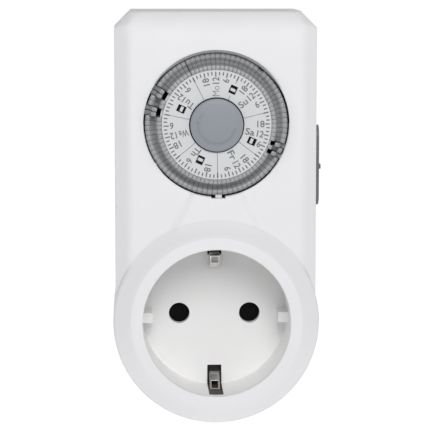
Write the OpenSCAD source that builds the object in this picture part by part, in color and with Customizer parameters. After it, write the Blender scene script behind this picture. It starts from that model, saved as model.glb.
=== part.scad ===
// Plug in timer switch: a weekly dial with push-out tappets, over a mains socket, on a mains plug.
// X is right, Z is up and Y runs from the front to the wall. The origin is the middle of the plug's end face.
// Depths are written as v, the distance in front of that end face, so that v = -Y.

/* [Housing] */
// Width of the housing
body_w = 53.2; // [53:0.1:54]
// Height of the top edge above the socket's axis
body_top = 81.6; // [80:0.2:84]
// Depth of the housing from its back to the front face
body_d = 30; // [30:0.5:33]
// Width of the flat front face between the side bevels
face_w = 45.4; // [44:0.2:46]
// Depth that the side bevels run back
bevel_d = 5; // [4:0.5:6]
// Size of the cut across each top corner
corner_cut = 4.3; // [3:0.1:5]
// Radius with which the front face rolls back to the top edge
roll_r = 12; // [11:0.5:14]
// Thickness of the housing walls
wall = 2; // [1.8:0.1:2.2]
// Depth of the rear cover's side walls
rear_d = 10; // [8:0.5:11]

/* [Socket] */
// Radius of the socket collar where it leaves the housing
collar_r = 27.2; // [27:0.1:27.6]
// Outer radius of the collar's flat rim
rim_r = 22.6; // [22.5:0.1:22.8]
// Slope of the collar's cone against the front face, in degrees
cone_slope = 30; // [28:1:32]
// Height of the rim above the front face
rim_h = 3; // [2.5:0.1:3.5]
// Radius of the socket well
well_r = 19.5; // [19.5:0.1:19.7]
// Depth of the socket well
well_d = 17.5; // [17.5:0.1:18]
// Thickness of the well's floor
floor_t = 2.5; // [2.3:0.1:2.7]
// Distance between the two pins
pin_pitch = 19; // [19:19]
// Radius of the pin holes
pin_hole_r = 2.8; // [2.7:0.05:2.9]
// Distance from the socket's axis to the earth clips
clip_gap = 15.2; // [15:0.1:15.4]

/* [Plug] */
// Radius of the plug body
boss_r = 18.4; // [18:0.1:18.6]
// Length of the plug body behind the housing
boss_l = 16.5; // [16:0.5:17]
// Radius of the plug pins
pin_r = 2.4; // [2.4:2.4]
// Length of the plug pins
pin_l = 19; // [19:19]
// Distance of the earth pin hole from the plug's axis
earth_off = 10; // [10:10]

/* [Dial] */
// Height of the dial's axis above the socket's axis
dial_z = 52.2; // [52:0.1:53]
// Radius of the opening for the dial
dial_hole_r = 19.2; // [19.15:0.05:19.5]
// Radius of the printed disc
disc_r = 14.25; // [14:0.05:14.3]
// Radius of the centre knob
knob_r = 6.9; // [6.8:0.1:7]
// Height of the printed disc above the front face
disc_h = 1.5; // [1.4:0.1:1.6]
// Height of the knob above the front face
knob_h = 2.8; // [2.6:0.1:3]
// Number of tappets round the dial
tappets = 84; // [84:84]
// Radius over the tappets
tappet_r = 18.75; // [18.6:0.05:18.8]
// Distance a tappet is pushed outwards to switch on
tappet_travel = 1.67; // [1.5:0.01:1.7]

/* [Side switch] */
// Length of the side switch
switch_l = 21.5; // [20:0.5:23]
// Height of the switch's middle above the socket's axis at rest
switch_z = 40.4; // [40:0.1:41]
// Distance the side switch slides
switch_travel = 5; // [4:0.1:5.2]

/* [Movement] */
// Tooth module of the train wheels
train_m = 0.3; // [0.3:0.3]
// Teeth on a train wheel
wheel_teeth = 48; // [48:48]
// Teeth on a train pinion
pinion_teeth = 12; // [12:12]
// Tooth module of the dial wheel
dial_m = 0.4; // [0.4:0.4]
// Teeth on the dial wheel
dial_teeth = 72; // [72:72]
// Radius of the motor
motor_r = 11.8; // [11:0.1:12]

/* [Hidden] */
$fn = 96;
eps = 0.01;
run = 0.05;                              // running clearance of a shaft, all round
gap = 0.3;                               // clearance between parts that pass each other

back_v = boss_l;                         // back of the housing
front_v = back_v + body_d;               // front face
rim_v = front_v + rim_h;
bevel_v = front_v - bevel_d;
part_v = back_v + rear_d;                // where the two covers meet
floor_v = rim_v - well_d;                // floor of the well
inner_v = front_v - wall;
half_w = body_w / 2;
half_face = face_w / 2;
lip_t = 1;                               // thickness of the front round the dial opening
lip_v = front_v - lip_t;
plateau_h = 0.8;                         // height of the bridge between dial and socket
collar_edge = 1.5;                       // radius of the collar's round edge
pin_x = pin_pitch / 2;

// Depths of the movement, from the back of the housing to the dial.
motor_v = back_v + wall + 0.3;
plate_t = 1.2;
base_plate_v = motor_v + 8.3;
slot_v0 = base_plate_v + plate_t + 0.1;  // first layer of wheels
slot_step = 1.4;
wheel_t = 1.1;
front_plate_v = slot_v0 + 5 * slot_step;
pinion_v = front_plate_v + plate_t + 0.3;
dial_wheel_t = 1.8;
carrier_v = pinion_v + 0.2;              // back of the dial wheel
flange_v = carrier_v + dial_wheel_t + 1.6;
tappet_v = lip_v - gap;                  // top of a tappet's outer pad
tappet_pitch = 360 / tappets;
tappet_phase = 0.7;                      // tappets sit a little out of step with the printed lines
tappet_in_r = 15;
hub_r = tappet_in_r - 0.2;
disc_top = front_v + disc_h;
plateau_v = disc_top - 1.9;              // face of the dial wheel that carries the printed disc
pushed = [14, 16, 55, 56, 59, 60];       // tappets pushed out, counted anticlockwise from the bottom

// Places of the train: the dial pinion's arbor, the fixed arbor and the motor, as [x, z].
dial_c = [0, dial_z];
dial_mesh = (dial_teeth + pinion_teeth) * dial_m / 2;
train_mesh = (wheel_teeth + pinion_teeth) * train_m / 2;
arbor_angle = 56;
arbor_a = dial_c + dial_mesh * [cos(arbor_angle), sin(arbor_angle)];
arbor_b = arbor_a - [train_mesh, 0];
motor_c = arbor_b - [train_mesh, 0];
arbor_r = 0.75;

// Cam lever and microswitch beside the socket collar, as [x, z].
lever_pivot = [10.6, 31.6];
lever_nose = [16.2, 38.0];
lever_toe = [17.4, 31.5];
lever_toe_r = 0.9;
lever_v = tappet_v - 3.6;
case_x = [8, 19];
case_z = [23.4, 29.6];
case_v = [30.5, 39];
switch_post_z = 26;

screw_spots = [[21.4, 76.4], [-21.4, 76.4], [21.4, 18], [-21.4, 18]];
screw_r = 1.4;
boss_screw_r = 2.6;
end_t = 2.5;                             // thickness of the plug's end face
groove_x = boss_r - 2.4;                 // bottom of the plug's guide grooves
groove_half = 2.1;

// ---- shared shapes ----

// An outline in X and Z, made solid from depth v0 to v1.
module slab(v0, v1) rotate([90, 0, 0]) translate([0, 0, v0]) linear_extrude(v1 - v0) children();

// A round bar along the depth.
module rod(v0, v1, r, c = [0, 0])
    translate([c[0], 0, c[1]]) rotate([90, 0, 0]) translate([0, 0, v0]) cylinder(h = v1 - v0, r = r);

// A tube along the depth.
module tube(v0, v1, r, bore, c = [0, 0]) difference() {
    rod(v0, v1, r, c);
    rod(v0 - 1, v1 + 1, bore, c);
}

// A turned shape whose points are [radius, v].
module turned(points, c = [0, 0])
    translate([c[0], 0, c[1]]) rotate([90, 0, 0]) rotate_extrude() polygon(points);

// A block given by its limits in x, z and v.
module block(x, z, v) translate([x[0], -v[1], z[0]]) cube([x[1] - x[0], v[1] - v[0], z[1] - z[0]]);

function arc(c, r, a0, a1, n) = [for (i = [0:n]) let(a = a0 + (a1 - a0) * i / n) c + r * [cos(a), sin(a)]];

function involute(r, base) = let(t = sqrt(max(pow(r / base, 2) - 1, 0))) t * 180 / PI - atan(t);

// One flank of a tooth as [radius, half angle] from the root outwards.
function flank(n, m, slim) = let(
    pitch = n * m / 2,
    base = pitch * cos(20),
    root = pitch - 1.25 * m,
    tip = pitch + 0.9 * m,
    start = max(base, root),
    half = 90 / n * (1 - slim),
    side = [for (i = [0:2]) let(r = start + (tip - start) * i / 2) [r, half + involute(pitch, base) - involute(r, base)]]
) concat([[root, side[0][1]]], side);

// A spur gear's outline, with a tooth centred on the given angle.
module gear(n, m, angle = 0, slim = 0.12) {
    side = flank(n, m, slim);
    last = len(side) - 1;
    polygon([for (k = [0:n - 1]) let(a = angle + 360 / n * k) each concat(
        [for (i = [0:last]) side[i][0] * [cos(a - side[i][1]), sin(a - side[i][1])]],
        [for (i = [last:-1:0]) side[i][0] * [cos(a + side[i][1]), sin(a + side[i][1])]]
    )]);
}

// The housing's front outline, from the socket's axis up.
module outline(half, top, cut, low = 0) polygon([
    [-half, low], [-half, top - cut], [-half + cut, top], [half - cut, top], [half, top - cut], [half, low]
]);

// The housing's form, drawn in by the inset all round, from depth v0 to its front face.
module housing_form(inset, v0, low = 0) {
    front = front_v - inset;
    top = body_top - inset;
    roll_c = [front - roll_r + inset, body_top - 8.4];
    r = roll_r - inset;
    end_a = asin((top - roll_c[1]) / r);
    intersection() {
        hull() {
            slab(v0, bevel_v - inset / 2) outline(half_w - inset, top, corner_cut, low);
            slab(front - eps, front) outline(half_face - inset / 2, top, corner_cut * 0.8, low);
        }
        translate([-half_w - 1, 0, 0]) rotate([90, 0, 90]) linear_extrude(body_w + 2)
            polygon([for (p = concat(
                [[v0 - 1, low - 1], [front, low - 1]],
                arc(roll_c, r, 0, end_a, 8),
                [[v0 - 1, top]]
            )) [-p[0], p[1]]]);
    }
}

// ---- housing ----

// The collar's side from the housing to the flat rim, drawn in by the inset: a wall, a round edge and a cone.
function collar_side(inset) = let(
    side_r = collar_r - inset,
    edge = max(collar_edge - inset, 0),
    foot = [rim_r, rim_v] - inset * [sin(cone_slope), cos(cone_slope)],
    reach = side_r - edge * (1 - sin(cone_slope)) - foot[0],
    middle = [side_r - edge, foot[1] - reach * tan(cone_slope) - edge * cos(cone_slope)],
    top = rim_v - inset
) concat(
    [[side_r, bevel_v]],
    edge > 0 ? arc(middle, edge, 0, 90 - cone_slope, 6) : [middle],
    [[foot[0] + (foot[1] - top) / tan(cone_slope), top]]
);

module front_cover_outside() {
    housing_form(0, part_v);
    turned(concat([[0, part_v], [collar_r, part_v]], collar_side(0), [[0, rim_v]]));
    // Cone that runs from the collar down on to the front face, a little lower than the collar's own.
    low = 0.05;
    cone_end = rim_r + (rim_h - low) / tan(cone_slope);
    intersection() {
        turned([
            [24, front_v - 1], [cone_end, front_v - 1], [cone_end, front_v],
            [24, rim_v - low - (24 - rim_r) * tan(cone_slope)]
        ]);
        hull() {
            slab(bevel_v - 2, bevel_v) outline(half_w, body_top, corner_cut);
            slab(rim_v, rim_v + eps) outline(half_face - 2.34, body_top, corner_cut);
        }
    }
    // Raised bridge between the dial and the socket.
    hull() {
        slab(front_v - 1, front_v + eps) polygon([[-7, 34.6], [7.2, 34.6], [13.6, 22.5], [-13.6, 22.5]]);
        slab(front_v + plateau_h - eps, front_v + plateau_h)
            polygon([[-5, 34.6], [5.4, 34.6], [11.2, 22.5], [-11.2, 22.5]]);
    }
}

module front_cover() color("whitesmoke") {
    tab_x = [-0.3, 1.4];
    notch_x = [-1.4, 2.3];
    slot_half = 2.2;
    difference() {
        front_cover_outside();
        difference() {
            union() {
                housing_form(wall, part_v - 1, low = -1);
                turned(concat([[0, part_v - 1], [collar_r - wall, part_v - 1]], collar_side(wall), [[0, rim_v - wall]]));
            }
            // The front face's own wall stays whole above the collar.
            block([-30, 30], [-30, 0], [rim_v - wall, rim_v]);
        }
        rod(inner_v - 1, lip_v, tappet_r + tappet_travel + 2, dial_c);
        rod(lip_v - 1, rim_v, dial_hole_r, dial_c);
        block(notch_x, [dial_z - dial_hole_r - 0.15, dial_z - dial_hole_r + 2], [lip_v - 1, rim_v]);
        turned([[0, floor_v], [well_r, floor_v], [well_r, rim_v - 0.4], [well_r + 0.5, rim_v + eps], [0, rim_v + 1]]);
        block(
            [half_w - wall - 1, half_w + 1],
            [switch_z - slot_half, switch_z + slot_half + switch_travel],
            [part_v + 5.5, part_v + 9.5]
        );
    }
    // Index tab that points at the time of day.
    block(tab_x, [dial_z - dial_hole_r - 0.4, dial_z - tappet_r + 0.3], [lip_v, front_v + 0.3]);
    // Marks beside the side switch.
    for (z = [switch_z - 1.3, switch_z - 1.3 + switch_travel])
        translate([half_w, -(bevel_v - 2.2), z]) sphere(r = 0.5, $fn = 24);
    // Bosses for the housing screws.
    for (c = screw_spots) difference() {
        rod(part_v + 0.2, c[1] > dial_z ? inner_v + 0.5 : inner_v - 1.3, boss_screw_r, c);
        rod(part_v, part_v + 12, screw_r - 0.1, c);
    }
}

module rear_cover() color("white") {
    post_v = part_v - 0.1;
    difference() {
        union() {
            difference() {
                union() {
                    slab(back_v, part_v) outline(half_w, body_top, corner_cut);
                    rod(back_v, part_v, collar_r);
                }
                slab(back_v + wall, part_v + 1) outline(half_w - wall, body_top - wall, corner_cut, -1);
                rod(back_v + wall, part_v + 1, collar_r - wall);
            }
            for (c = screw_spots) rod(back_v, post_v, 4.1, c);
            // Posts that carry the microswitch.
            for (x = [case_x[0] + 2, case_x[1] - 2.6]) rod(back_v, case_v[0] - eps, 1, [x, switch_post_z]);
            // Tongue that locates the front cover.
            difference() {
                slab(part_v - 3, part_v + 1.5)
                    outline(half_w - wall - 0.1, body_top - wall - 0.1, corner_cut, 14);
                slab(part_v - 4, part_v + 2)
                    outline(half_w - wall - 1.1, body_top - wall - 1.1, corner_cut, 13);
                block([half_w - 4, half_w], [switch_z - 8, switch_z + 12], [part_v, part_v + 2]);
                for (c = screw_spots) rod(part_v, part_v + 2, boss_screw_r + 0.3, c);
            }
        }
        rod(back_v - 1, back_v + wall + 1, boss_r + run);
        for (c = screw_spots) {
            rod(back_v - 1, part_v + 2, screw_r + 0.2, c);
            rod(back_v - 1, back_v + 4.5, 3.1, c);
        }
    }
}

// The plug's cup, whose flange lies behind the rear cover's back.
module plug_body() color("white") {
    cup_v = back_v + wall + run;
    difference() {
        union() {
            difference() {
                rod(0, cup_v, boss_r);
                rod(end_t, cup_v + 1, boss_r - wall);
            }
            tube(cup_v, cup_v + 1.2, boss_r + 1.4, boss_r - wall);
            // Floors of the guide grooves.
            for (s = [-1, 1]) block(
                s > 0 ? [groove_x - 1.1, groove_x + 1] : [-groove_x - 1, -groove_x + 1.1],
                [-groove_half - 1, groove_half + 1],
                [1, cup_v]
            );
        }
        for (x = [-pin_x, pin_x]) {
            rod(-1, end_t + 1, root_r + run, [x, 0]);
            // Shallow recess round the pin.
            rod(-1, 0.3, pin_r + 0.5, [x, 0]);
        }
        rod(-1, end_t + 1, pin_r + run, [0, earth_off]);
        // Guide grooves at the left and the right.
        for (s = [-1, 1]) block(
            s > 0 ? [groove_x, boss_r + 1] : [-boss_r - 1, -groove_x],
            [-groove_half, groove_half],
            [-1, back_v - 0.5]
        );
        // Slots for the earth strips at the top and the bottom.
        for (s = [-1, 1]) block(
            [-2.7, 2.7],
            s > 0 ? [boss_r - 2.4, boss_r + 2] : [-boss_r - 2, -boss_r + 2.4],
            [-1, cup_v + 2]
        );
    }
}

// Grey strip that closes the upper part of the gap round the dial.
module opening_guard() color("darkgray")
    translate([0, 0, dial_z]) rotate([90, 0, 0]) rotate([0, 0, 51.5]) rotate_extrude(angle = 97)
        polygon([
            [tappet_r + 0.14, lip_v + 0.05], [dial_hole_r - 0.02, lip_v + 0.05],
            [dial_hole_r - 0.02, front_v - 0.6], [tappet_r + 0.14, front_v - 0.6]
        ]);

module housing_screws() color("silver")
    for (c = screw_spots) difference() {
        union() {
            rod(back_v + 2, back_v + 4.5, 2.8, c);
            rod(back_v + 4, part_v + 9, screw_r, c);
        }
        for (a = [0, 90]) translate([c[0], 0, c[1]]) rotate([0, a, 0])
            block([-2, 2], [-0.4, 0.4], [back_v + 1, back_v + 3.2]);
    }

// ---- socket ----

module socket_insert() color("white") {
    top = rim_v - wall - 0.1;
    rib_half = 1.35;
    difference() {
        union() {
            difference() {
                turned([
                    [0, floor_v - floor_t], [well_r + 1.9, floor_v - floor_t], [well_r + 1.9, top - 1.6],
                    [well_r + 2.6, top - 1.4], [well_r + 2.6, top], [0, top]
                ]);
                rod(floor_v, top + 1, well_r);
            }
            // Guide ribs at either side of the well.
            for (s = [-1, 1]) block(
                s > 0 ? [well_r - 2.7, well_r + 1] : [-well_r - 1, -well_r + 2.7],
                [-rib_half, rib_half],
                [floor_v - 1, floor_v + 8]
            );
            // Stub that the shutter turns on.
            rod(floor_v - floor_t - 1.9, floor_v - 1, 2);
        }
        for (x = [-pin_x, pin_x]) rod(floor_v - floor_t - 1, floor_v + 1, pin_hole_r, [x, 0]);
        // Slots for the earth clips, through the floor and up the wall.
        for (s = [-1, 1]) block(
            [-1.9, 1.9],
            s > 0 ? [clip_gap - 1.6, well_r + 0.9] : [-well_r - 0.9, -clip_gap + 1.6],
            [floor_v - floor_t - 1, rim_v - 2.6]
        );
        // Shallow pockets beside the guide ribs.
        for (sx = [-1, 1], sz = [-1, 1]) block(
            sx > 0 ? [well_r - 2.2, well_r - 0.6] : [-well_r + 0.6, -well_r + 2.2],
            sz > 0 ? [rib_half + 0.9, rib_half + 4.4] : [-rib_half - 4.4, -rib_half - 0.9],
            [floor_v - 0.7, floor_v + 1]
        );
    }
}

shutter_v = floor_v - floor_t - 0.25;    // front of the shutter
shutter_t = 1.4;

module shutter() color([0.08, 0.08, 0.09]) difference() {
    union() {
        rod(shutter_v - shutter_t, shutter_v, 4.2);
        for (a = [0, 180]) rotate([0, a, 0]) intersection() {
            tube(shutter_v - shutter_t, shutter_v, 13, 3);
            // A blade that covers the hole at rest and leaves it when the shutter is turned.
            slab(shutter_v - shutter_t, shutter_v)
                polygon([[0, 0], for (b = [-18:12:18]) 16 * [cos(b), sin(b)]]);
        }
    }
    rod(shutter_v - shutter_t - 1, shutter_v + 1, 2 + run);
}

// Leaf that pushes the shutter back over the holes, on a foot against the well's floor.
module shutter_spring() color("silver") {
    leaf_x = 4.6;
    foot_z = -8.4;
    block([leaf_x, leaf_x + 0.4], [foot_z, -1.8], [shutter_v - 1.2, shutter_v - 0.4]);
    block([leaf_x, leaf_x + 2.6], [foot_z - 0.5, foot_z + eps], [shutter_v - 1.2, floor_v - floor_t]);
}

carrier_top = shutter_v - shutter_t - 2.2;

module contact_carrier() color([0.16, 0.16, 0.17]) difference() {
    union() {
        rod(carrier_top - 1.4, carrier_top, 16);
        for (a = [65, 115, 245, 295]) rod(back_v + wall + 1.3, carrier_top, 2, 17.2 * [cos(a), sin(a)]);
    }
    for (x = [-pin_x, pin_x]) rod(carrier_top - 3, carrier_top + 1, 3.55, [x, 0]);
    for (s = [-1, 1]) block([-2.8, 2.8], s > 0 ? [15.6, 20] : [-20, -15.6], [carrier_top - 3, carrier_top + 1]);
}

strip_t = 0.8;
strip_z = boss_r - 1.7;                  // inner face of the earth strips

module earth_bracket() color("silver") {
    bar_v = [carrier_top + 0.05, carrier_top + 0.05 + strip_t];
    clip_half = 1.37;
    knee_v = floor_v - 1;                // where the strip bends towards the middle of the well
    nose_v = floor_v + 0.6;
    end_v = floor_v + 4.6;
    end_z = well_r - 0.3;
    for (s = [0, 180]) rotate([0, s, 0]) {
        // Strip from the plug's side to below the floor of the well.
        block([-2.5, 2.5], [strip_z, strip_z + strip_t], [0.3, bar_v[1]]);
        block([-clip_half, clip_half], [strip_z, strip_z + strip_t], [bar_v[0], knee_v]);
        // Sprung clip: in to its nose, then out again as a ramp with a window, up to the well's wall.
        difference() {
            translate([-clip_half, 0, 0]) rotate([90, 0, 90]) linear_extrude(2 * clip_half) polygon([for (p = [
                [knee_v - 1, strip_z], [knee_v, strip_z], [nose_v - 0.7, clip_gap], [nose_v + 0.2, clip_gap + 0.2],
                [end_v, end_z], [end_v - 0.35, end_z + 0.4], [nose_v, clip_gap + 0.85],
                [nose_v - 0.4, clip_gap + 0.75], [knee_v + 0.3, strip_z + strip_t], [knee_v - 1, strip_z + strip_t]
            ]) [-p[0], p[1]]]);
            block([-0.85, 0.85], [clip_gap + 1.9, end_z - 0.35], [nose_v, end_v + 1]);
        }
    }
    block([-2.5, 2.5], [-strip_z - eps, strip_z + eps], bar_v);
}

// Sleeve for the earth pin of a socket that has one, with a tab to the earth strip.
module earth_pin_sleeve() color("goldenrod") {
    sleeve_r = pin_r + 0.9;
    tube(end_t + run, 11, sleeve_r, pin_r + run, [0, earth_off]);
    block([-2, 2], [earth_off + sleeve_r - 0.3, strip_z - run], [10.2, 11]);
}

contact_v = [10.5, carrier_top + 1.6];

// A slotted sleeve that grips a pin, with a tab at its back.
module pin_contact(s) {
    difference() {
        tube(contact_v[0], contact_v[1], 3.4, pin_r + 0.1, [s * pin_x, 0]);
        block([s * pin_x - 0.3, s * pin_x + 0.3], [-4, 4], [contact_v[0] + 3, contact_v[1] + 1]);
    }
}

module live_contact() color("goldenrod") pin_contact(-1);
module neutral_contact() color("goldenrod") pin_contact(1);

// ---- plug ----

pin_root = 8.2;
root_r = 2.1;                            // radius of a pin's neck and root

// A turned pin: a neck through the plug's end, a flange behind it and a root for the bar.
module plug_pin(s) turned([
    [0, -pin_l], [pin_r - 0.9, -pin_l], [pin_r, -pin_l + 0.9], [pin_r, 0], [root_r, 0],
    [root_r, end_t + run], [pin_r + 1, end_t + run], [pin_r + 1, 4.2], [root_r, 4.2], [root_r, pin_root],
    [0, pin_root]
], [s * pin_x, 0]);

module live_pin() color("lightgray") plug_pin(-1);
module neutral_pin() color("lightgray") plug_pin(1);

bar_t = 0.8;
bar_v = [4.5, 4.5 + bar_t];              // depth at which the bars grip the pins' roots

// Bar end with a hole for a pin's root.
module pin_eye(s) tube(bar_v[0], bar_v[1], 4, root_r, [s * pin_x, 0]);

module neutral_bar() color("goldenrod") {
    pin_eye(1);
    block([pin_x - 1.5, pin_x + 1.5], [-7.5, -3.8], bar_v);
    block([pin_x - 1.5, pin_x + 1.5], [-7.5, -6.7], [bar_v[0], contact_v[0] + 1.2]);
    block([pin_x - 1.5, pin_x + 1.5], [-7.5, -3.35], [contact_v[0] + 0.4, contact_v[0] + 1.2]);
}

// From the live pin up to the microswitch's blade.
module live_feed_bar() color("goldenrod") {
    x = [-12.8, -10.4];
    z = case_z[1] - 1.7;
    run_v = [back_v + wall + 4.7, back_v + wall + 5.5];
    pin_eye(-1);
    block(x, [2.6, 8.2], bar_v);
    block(x, [7.4, 8.2], [bar_v[0], run_v[1]]);
    block(x, [7.4, z + bar_t], run_v);
    block([x[0], case_x[0] + 1.5], [z, z + bar_t], [run_v[0] - 1.6, run_v[1]]);
    block([case_x[0] - 0.7, case_x[0] + 1.5], [z, z + bar_t], [run_v[0], case_v[0] + 1.2]);
}

// From the microswitch's fixed contact back to the live socket contact.
module live_switched_bar() color("goldenrod") {
    x = [-14.3, -13.5];
    z = [case_z[0] + 0.2, case_z[0] + 1.2];
    end_x = [case_x[1] - 1.4, case_x[1] - 0.4];
    low_v = [contact_v[0] + 0.4, contact_v[0] + 0.4 + bar_t];
    run_v = [back_v + wall + 3, back_v + wall + 3 + bar_t];
    block([x[0], -pin_x - 3.35], [-1.3, 1.3], low_v);
    block(x, [-1.3, 2.4], low_v);
    block(x, [0, 2.4], [low_v[0], run_v[1]]);
    block(x, [0, z[1]], run_v);
    block([x[0], end_x[1]], z, run_v);
    block(end_x, z, [run_v[0], case_v[0] + 1.2]);
}

// ---- dial ----

module dial_wheel() color("whitesmoke") difference() {
    union() {
        translate([0, 0, dial_z]) slab(carrier_v, carrier_v + dial_wheel_t)
            gear(dial_teeth, dial_m, arbor_angle);
        turned([
            [0, carrier_v + dial_wheel_t - eps], [13.8, carrier_v + dial_wheel_t - eps],
            [13.8, carrier_v + dial_wheel_t + 0.4], [18.3, carrier_v + dial_wheel_t + 0.4], [18.3, flange_v],
            [hub_r, flange_v], [hub_r, plateau_v], [0, plateau_v]
        ], dial_c);
    }
    rod(carrier_v - 1, plateau_v + 1, 2 + run, dial_c);
    rod(plateau_v - 1.6, plateau_v + 1, 4.2, dial_c);
    // Windows under the snap tabs of the printed disc.
    for (a = [65, 155.5, 245, 335]) translate([0, 0, dial_z]) rotate([0, -a, 0])
        block([9.9, 10.7], [-0.95, 0.95], [plateau_v - 1.4, plateau_v + 1]);
}

module printed_disc() color("gainsboro") difference() {
    bore_r = knob_r + 0.3;
    turned([
        [bore_r, plateau_v], [14.9, plateau_v], [14.9, plateau_v + 0.55], [disc_r, plateau_v + 0.55],
        [disc_r, disc_top], [bore_r, disc_top]
    ], dial_c);
    for (a = [65, 155.5, 245, 335]) translate([0, 0, dial_z]) rotate([0, -a, 0])
        block([9, 11.2], [-0.95, 0.95], [plateau_v + 0.7, disc_top + 1]);
}

module centre_knob() color([0.56, 0.58, 0.61]) union() {
    top = front_v + knob_h;
    arrow_r = 4.94;
    turned([
        [0, plateau_v], [knob_r, plateau_v], [knob_r, top - 0.35], [knob_r - 0.35, top], [0, top]
    ], dial_c);
    translate([0, 0, dial_z]) {
        // Raised arrow that shows which way to turn the dial.
        rotate([90, 0, 0]) rotate([0, 0, 172]) rotate_extrude(angle = 177)
            translate([arrow_r - 0.28, top - eps]) square([0.56, 0.29]);
        slab(top - eps, top + 0.28) polygon([
            (arrow_r + 0.7) * [cos(172.5), sin(172.5)], (arrow_r - 0.75) * [cos(174), sin(174)],
            (arrow_r - 0.3) * [cos(140), sin(140)]
        ]);
    }
}

module dial_clip() color("dimgray") difference() {
    tube(plateau_v - 1.1, plateau_v - 0.5, 3.4, 1.6, dial_c);
    block([-0.7, 0.7], [dial_z, dial_z + 4], [plateau_v - 2, plateau_v]);
}

tappet_top = disc_top - 0.35;

// A tappet's section as [radius, v]: a low pad, a saddle for the fingertip and a high pad over the disc's edge.
tappet_section = [
    [tappet_in_r, flange_v + run], [tappet_r - 0.2, flange_v + run], [tappet_r, tappet_v - 0.4],
    [tappet_r - 0.15, tappet_v], [17.55, tappet_v], [16.6, tappet_v - 1], [15.9, tappet_v + 0.2],
    [15.5, tappet_top], [disc_r + 0.1, tappet_top], [disc_r + 0.1, plateau_v + 0.65],
    [tappet_in_r, plateau_v + 0.65]
];
tappet_gap = 0.34;                       // angle left between two tappets

function tappet_angle(i) = -90 + (i + tappet_phase) * tappet_pitch;

module tappet(i, out = 0) {
    a = tappet_angle(i);
    translate([out * cos(a), 0, dial_z + out * sin(a)]) rotate([90, 0, 0])
        rotate([0, 0, a - (tappet_pitch - tappet_gap) / 2])
            rotate_extrude(angle = tappet_pitch - tappet_gap) polygon(tappet_section);
}

module tappets_in() color([0.6, 0.61, 0.61])
    for (i = [0:tappets - 1]) if (len(search(i, pushed)) == 0) tappet(i);

module pushed_tappet(k) color([0.6, 0.61, 0.61]) tappet(pushed[k], tappet_travel);

module tappet_right_low() pushed_tappet(0);
module tappet_right_high() pushed_tappet(1);
module tappet_left_1() pushed_tappet(2);
module tappet_left_2() pushed_tappet(3);
module tappet_left_3() pushed_tappet(4);
module tappet_left_4() pushed_tappet(5);

// ---- movement ----

module dial_post() color("goldenrod") turned([
    [0, front_plate_v - 0.4], [3.2, front_plate_v - 0.4], [3.2, front_plate_v - run], [2, front_plate_v - run],
    [2, plateau_v - 1.15], [1.6, plateau_v - 1.15], [1.6, plateau_v - 0.45], [2, plateau_v - 0.45],
    [2, plateau_v - 0.1], [0, plateau_v - 0.1]
], dial_c);

pillar_spots = [[-20.6, 51], [-18.6, 40], [19.6, 57], [8.8, 76.6]];
pillar_r = 1.6;

module plate_outline() polygon([
    [-22.6, 37], [-16, 34], [3, 34], [13, 42], [21.4, 52], [21.4, 67], [12.5, 78.2], [-14, 78.2], [-22.6, 66]
]);

module front_plate() color("beige") difference() {
    slab(front_plate_v, front_plate_v + plate_t) plate_outline();
    rod(front_plate_v - 1, pinion_v, 2, dial_c);
    rod(front_plate_v - 1, pinion_v, arbor_r + run, arbor_a);
    rod(front_plate_v - 1, pinion_v, arbor_r - 0.25, arbor_b);
    for (c = pillar_spots) rod(front_plate_v - 1, pinion_v, pillar_r / 2, c);
}

module base_plate() color("beige") difference() {
    slab(base_plate_v, base_plate_v + plate_t) plate_outline();
    rod(base_plate_v - 1, base_plate_v + 3, arbor_r + run, arbor_a);
    rod(base_plate_v - 1, base_plate_v + 3, arbor_r - 0.25, arbor_b);
    rod(base_plate_v - 1, base_plate_v + 3, 2.6, motor_c);
    for (c = pillar_spots) rod(base_plate_v - 1, base_plate_v + 3, pillar_r / 2, c);
}

module plate_pillars() color("beige") for (c = pillar_spots) {
    rod(back_v + wall, base_plate_v, pillar_r, c);
    rod(base_plate_v - eps, front_plate_v + plate_t, pillar_r / 2, c);
    rod(base_plate_v + plate_t, front_plate_v, pillar_r, c);
}

module fixed_arbor() color("silver") {
    rod(base_plate_v + 0.2, front_plate_v + plate_t - 0.2, arbor_r - 0.25, arbor_b);
    rod(base_plate_v + plate_t, front_plate_v, arbor_r, arbor_b);
}

function layer(k) = [slot_v0 + k * slot_step, slot_v0 + k * slot_step + wheel_t];

// A wheel with its pinion on the layer above. Tooth angles point at the neighbours that they mesh with.
module train_wheel(k, c, wheel_angle, pinion_angle) difference() {
    union() {
        translate([c[0], 0, c[1]]) slab(layer(k)[0], layer(k)[1]) difference() {
            gear(wheel_teeth, train_m, wheel_angle);
            for (a = [0:72:288]) translate(4.2 * [cos(a), sin(a)]) circle(r = 1.3, $fn = 24);
        }
        translate([c[0], 0, c[1]]) slab(layer(k)[1] - eps, layer(k + 1)[1]) gear(pinion_teeth, train_m, pinion_angle);
    }
    rod(layer(k)[0] - 1, layer(k + 1)[1] + 1, arbor_r + run, c);
}

half_tooth_w = 180 / wheel_teeth;

module train_wheel_1() color("ivory") train_wheel(0, arbor_b, half_tooth_w, 0);
module train_wheel_2() color("ivory") train_wheel(1, arbor_a, 180 + half_tooth_w, 180);
module train_wheel_3() color("ivory") train_wheel(2, arbor_b, half_tooth_w, 0);

// The last wheel drives the dial's pinion through the friction of the clutch spring.
module train_wheel_4() color("ivory") difference() {
    union() {
        translate([arbor_a[0], 0, arbor_a[1]]) slab(layer(3)[0], layer(3)[1])
            gear(wheel_teeth, train_m, 180 + half_tooth_w);
        rod(layer(3)[1] - eps, layer(3)[1] + 0.5, 3, arbor_a);
    }
    rod(layer(3)[0] - 1, layer(4)[1], arbor_r + run, arbor_a);
}

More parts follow.
